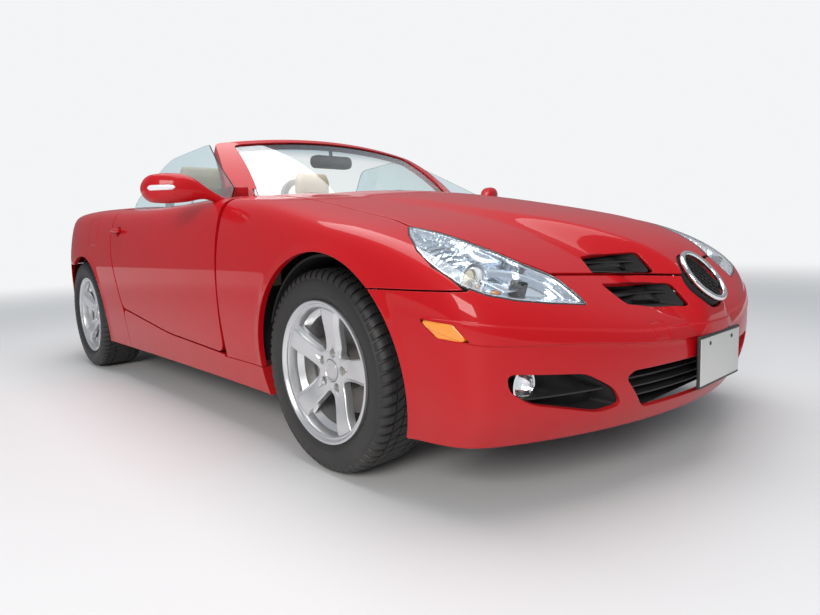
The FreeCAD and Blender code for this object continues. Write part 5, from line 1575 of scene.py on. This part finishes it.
# %% Padded pieces
SEAT_Y = 372.0
PAD_ROWS, PAD_COLUMNS = 72, 64
PAD_EDGE, PAD_TUCK, SEAM_DEPTH, SEAM_WIDTH, PAD_LENGTH = 3.2, 0.16, 6, 4.5, 560


def joined(points, quads):
    """The same surface with its doubled points joined and its faces wound alike."""
    bm = bmesh.new()
    mesh = bpy.data.meshes.new("work")
    mesh.from_pydata(points.tolist(), [], quads.tolist())
    bm.from_mesh(mesh)
    bmesh.ops.remove_doubles(bm, verts=bm.verts, dist=0.05)
    bmesh.ops.dissolve_degenerate(bm, edges=bm.edges, dist=0.01)
    bmesh.ops.recalc_face_normals(bm, faces=bm.faces)
    bm.verts.index_update()
    points = np.array([vert.co[:] for vert in bm.verts])
    faces = [[vert.index for vert in face.verts] for face in bm.faces]
    bm.free()
    bpy.data.meshes.remove(mesh)
    return points, faces


def pad(middle, outward, half_width, thickness, channels, bolster):
    """A closed cushion along a spine: its width and thickness, raised sides and sewn channels."""
    v = 0.5 - 0.5 * np.cos(np.linspace(0, 1, PAD_ROWS) * math.pi)
    u = np.sin(np.linspace(-math.pi / 2, math.pi / 2, PAD_COLUMNS))
    v, u = np.meshgrid(v, u, indexing="ij")
    ends = np.maximum(1 - np.abs(2 * v - 1) ** (2 * PAD_EDGE), 0) ** 0.5
    crown = ends * np.maximum(1 - np.abs(u) ** (2 * PAD_EDGE), 0) ** 0.5
    width = half_width(v) * (1 - PAD_TUCK * 0.35 * (1 - ends)) * (1 - 0.03 * np.sin(v * math.pi) ** 2)
    sewn = np.zeros_like(u)
    for kind, place, low, high in channels:
        here, other, length = (u, v, half_width(v)) if kind == "u" else (v, u, PAD_LENGTH)
        groove = np.exp(-(np.abs(here - place) * length / SEAM_WIDTH) ** 2)
        sewn += groove * soft_step((other - low) / 0.03) * soft_step((high - other) / 0.03)
    raised = bolster * soft_step((np.abs(u) - 0.56) / 0.28)
    half = thickness(v) * 0.5 * crown
    flat = middle(v) + u[..., None] * ACROSS * width[..., None]
    points = [(flat + outward(v) * level[..., None]).reshape(-1, 3)
              for level in (half + (raised - SEAM_DEPTH * sewn) * crown, -half)]
    quads = woven(PAD_ROWS, PAD_COLUMNS)
    return joined(np.vstack(points), np.concatenate([quads, quads[:, ::-1] + PAD_ROWS * PAD_COLUMNS]))


def spine(places):
    """A smooth line in the car's side view, as a function from 0 to 1, and its outward way."""
    t = np.linspace(0, 1, len(places))
    x, z = (Curve([(s, p[k]) for s, p in zip(t, places)]).exact for k in (0, 1))

    def middle(v):
        return np.stack([x(v), np.zeros_like(v), z(v)], axis=-1)

    def outward(v):
        dx, dz = x(v + 0.01) - x(v - 0.01), z(v + 0.01) - z(v - 0.01)
        size = np.hypot(dx, dz)
        return np.stack([dz / size, 0 * v, -dx / size], axis=-1)

    return middle, outward


def table(values):
    """Values spread evenly from 0 to 1, read in between."""
    return lambda v: np.interp(v, np.linspace(0, 1, len(values)), values)


def sewn_lines(side, ends, rows):
    """A seam along each side and one across at each row."""
    return [("u", -side, *ends), ("u", side, *ends)] + [("v", row, -side, side) for row in rows]


print("points of a pad before joining", 2 * PAD_ROWS * PAD_COLUMNS)

# %% Seats
SEAT_PIECES = {
    "seat_back": ([(-435, 335), (-478, 450), (-525, 600), (-575, 750), (-622, 885)],
                  [205, 232, 235, 214, 168], [95, 118, 112, 96, 74],
                  sewn_lines(0.56, (0.02, 0.97), (0.2, 0.34, 0.48, 0.62, 0.76)), 26),
    "seat_base": ([(-405, 345), (-250, 332), (-80, 345), (95, 362)], [212, 232, 234, 215],
                  [120, 128, 120, 84],
                  sewn_lines(0.6, (0.04, 0.96), (0.3, 0.5, 0.7, 0.88)), 24),
    "head_restraint": ([(-640, 968), (-634, 1030), (-630, 1090), (-632, 1144)], [112, 128, 128, 108],
                       [52, 74, 70, 46], [("v", 0.22, -0.95, 0.95)], 0)}
POST = [(0, 0.02), (0, 6.5), (110, 6.5), (110, 0.02)]
for side, sign in (("right", -1), ("left", 1)):
    seat_y = sign * SEAT_Y
    for name, (line, widths, thicknesses, channels, bolster) in SEAT_PIECES.items():
        points, faces = pad(*spine(line), table(widths), table(thicknesses), channels, bolster)
        piece = add_piece(name + "_" + side, points + (0, seat_y, 0), faces, TAN_LEATHER, "shell",
                          "tan_leather", None, "seat_" + side)
    for k, post_y in enumerate((-60, 60)):
        post = turned_about(POST[::-1], (-637, seat_y + post_y, 878), (0.02, 0, 1), 20)
        add_piece("seat_post_" + side + "_" + str(k), *post, CHROME, "shell", "bar_silver")
    add_piece("seat_shell_" + side, *block((-150, seat_y, 262), (430, 400, 60), 12), BLACK, "shell",
              "black_plastic")
    for k, rail_y in enumerate((-150, 150)):
        add_piece("seat_rail_" + side + "_" + str(k), *block((-160, seat_y + rail_y, 212), (440, 34, 46), 5),
                  STEEL, "shell", "black_plastic")
print("seats", len(points), "points in the last piece")

# %% [markdown]
# Round the doors and the screen are the small dark and bright pieces that make the car read as real:
# the screen's seal, the outer mirrors with their light strips, the pillars' feet and the door handles.

# %% The screen's seal
SCREEN_OUT = unit(np.array(((0.566, 0.0, 0.824),)))[0]
SCREEN_HALF_FOOT, SCREEN_HALF_HEAD, SCREEN_LOW, SCREEN_TOP = 608.0, 524.0, 0.06, 0.93
SCREEN_HEIGHT, SCREEN_CORNER = 570, 0.10
BAND_POINTS, BAND_IN, BAND_OUT, BAND_LIFT, BAND_DEPTH = 60, -2, 9, 3.4, 6


def screen_point(y, up):
    """Points of the windscreen, up from 0 at the foot to 1 at the head, as the CAD model has them."""
    share = (y / 600) ** 2
    foot = np.stack([545 - 150 * share, y, 890 + 16 * share], axis=-1)
    head = np.stack([73 - 66 * share, y * 0.93, 1214 - 27 * share], axis=-1)
    swell = 4 * up * (1 - up)
    return foot + (head - foot) * up[..., None] + SCREEN_OUT * (24 * swell)[..., None]


def screen_line(inset):
    """A line over the screen at an inset from the glass's edge: up one side, across the top and down."""
    def half(up):
        return SCREEN_HALF_FOOT + (SCREEN_HALF_HEAD - SCREEN_HALF_FOOT) * up - inset

    top = SCREEN_TOP - inset / SCREEN_HEIGHT
    side_up = SCREEN_LOW + (top - SCREEN_CORNER - SCREEN_LOW) * np.linspace(0, 1, BAND_POINTS)
    arc = np.linspace(0, math.pi / 2, 16)[1:-1]
    arc_up = top - SCREEN_CORNER + SCREEN_CORNER * np.sin(arc)
    arc_y = half(arc_up) - SCREEN_CORNER * SCREEN_HEIGHT * (1 - np.cos(arc)) * 0.75
    across = np.linspace(arc_y[-1], -arc_y[-1], BAND_POINTS)[1:-1]
    ups = np.concatenate([side_up, arc_up, np.full(len(across), top), arc_up[::-1], side_up[::-1]])
    ys = np.concatenate([half(side_up), arc_y, across, -arc_y[::-1], -half(side_up)[::-1]])
    return screen_point(-ys / (1 - 0.07 * ups), ups)


outer, inner = screen_line(BAND_IN), screen_line(BAND_OUT)
rings = [outer + SCREEN_OUT * BAND_LIFT, inner + SCREEN_OUT * BAND_LIFT, inner - SCREEN_OUT * BAND_DEPTH,
         outer - SCREEN_OUT * BAND_DEPTH]
add_piece("screen_seal", np.vstack(rings), flipped(bar_faces(4, len(outer))), GLOSS_BLACK, "shell",
          "black_plastic")
print("screen seal points", 4 * len(outer))

# %% Outer mirrors
MIRROR = [(-756, 442, 872, 22, 18), (-800, 437, 894, 22, 18), (-840, 430, 914, 27, 25),
          (-885, 408, 928, 44, 46), (-940, 382, 932, 56, 56), (-1000, 347, 932, 52, 53),
          (-1036, 318, 932, 40, 44)]
MIRROR_TIP, MIRROR_END, MIRROR_SIDES = -1036, 30.0, 48
MIRROR_BULGE = 2 / 2.7
STRIP_LIGHT = finish("mirror_light", (0.75, 0.76, 0.78), 0.18, coat=1.0, mottle=0.02)


def mirror_line():
    """Along the housing: y, middle x and z, half length and half height, closed at the outer end."""
    rows = np.array(MIRROR, float)[::-1]
    y = np.concatenate([MIRROR_TIP + MIRROR_END * (1 - np.cos(np.linspace(0.02, math.pi / 2, 14))),
                        np.linspace(-1004, -756, 34)])
    x, z, half_x, half_z = (Curve(rows[:, [0, k]].tolist()).exact(y) for k in (1, 2, 3, 4))
    past = np.maximum(MIRROR_TIP + MIRROR_END - y, 0) / MIRROR_END
    close = np.sqrt(np.maximum(1 - past ** 2, 0.0))
    return y, x, z, half_x * (0.35 + 0.65 * close) * (close > 0), half_z * close


def mirror_housing():
    y, x, z, half_x, half_z = (value[:, None] for value in mirror_line())
    turn = np.linspace(0, 2 * math.pi, MIRROR_SIDES, endpoint=False)
    across, height = (np.sign(c) * np.abs(c) ** MIRROR_BULGE for c in (np.cos(turn), np.sin(turn)))
    points = np.stack([x + half_x * across, y + 0 * turn, z + half_z * height], axis=2).reshape(-1, 3)
    quads = woven(len(y), MIRROR_SIDES, False, True).tolist()
    end = list(range(MIRROR_SIDES))
    return points, quads + [end[::-1], [len(points) - MIRROR_SIDES + k for k in end]]


def light_strip(half_height, height):
    """A slim lens along the front of the right mirror, raised on its middle."""
    y, x, z, half_x, _ = mirror_line()
    chosen = (y > -1030) & (y < -948)
    y, front, z = y[chosen], (x + half_x)[chosen], z[chosen]
    t = np.linspace(0, 1, len(y))
    way = unit(np.stack([np.gradient(y), -np.gradient(front), 0 * y], axis=1))
    width = half_height * np.sqrt(np.maximum(1 - np.abs(2 * t - 1) ** 8, 0.001))
    rings = []
    for a in np.linspace(0, 2 * math.pi, 17)[:-1]:
        rise = height * math.cos(a) if math.cos(a) > 0 else 3 * math.cos(a)
        rings.append(np.stack([front, y, z + width * math.sin(a)], axis=1) + way * rise)
    return np.vstack(rings), flipped(bar_faces(len(rings), len(y)))


for name, form, material, slot in (("mirror_housing", mirror_housing(), PAINT, "paint_red"),
                                   ("mirror_light", light_strip(10, 3.0), STRIP_LIGHT, "lamp_clear")):
    both(name, *form, material, slot, rides="door_{side}", crease=35, replaces="mirror_{side}")
print("mirror faces", len(form[1]))

# %% Pillar feet and door handles
GRIP = [(-62, 0.02), (-60, 7), (-50, 10), (-20, 11.5), (20, 11.5), (50, 10), (60, 7), (62, 0.02)]
HANDLE_CENTRE, HANDLE_WAY = (-599, -872, 797), (1, 0, -0.02)
both("pillar_foot", *block((365, -676, 912), (120, 74, 66), 10, turn=-0.12), PAINT, "paint_red")
both("door_grip", *turned_about(GRIP[::-1], HANDLE_CENTRE, HANDLE_WAY, 28), PAINT, "paint_red",
     rides="door_{side}")
print("pillar feet and door handles done")

# %% Creases of the CAD nodes that are shown
SHOWN = ("screen_frame", "inner_mirror", "wipers", "cowl", "rear_deck", "dashboard", "console",
         "steering_wheel", "roll_bars", "brake_disc", "knuckle", "front_axle", "rear_axle", "floor",
         "front_frame", "rear_frame", "engine", "exhaust")
for name, obj in node.items():
    if name.startswith(SHOWN):
        creases = obj.modifiers.new("creases", "WEIGHTED_NORMAL")
        creases.keep_sharp = True
        obj.data.set_sharp_from_angle(angle=CREASE)
print("cabin done")

# %% [markdown]
# The last cell keeps the size of the CAD model and of the dressed model, so that the two can be compared,
# and hands the scene over.

# %% Finish
visual_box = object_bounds()
for label, box in (("cad size", cad_box), ("dressed size", visual_box)):
    print(label, [round(c, 4) for c in (*box[0], *box[1])])
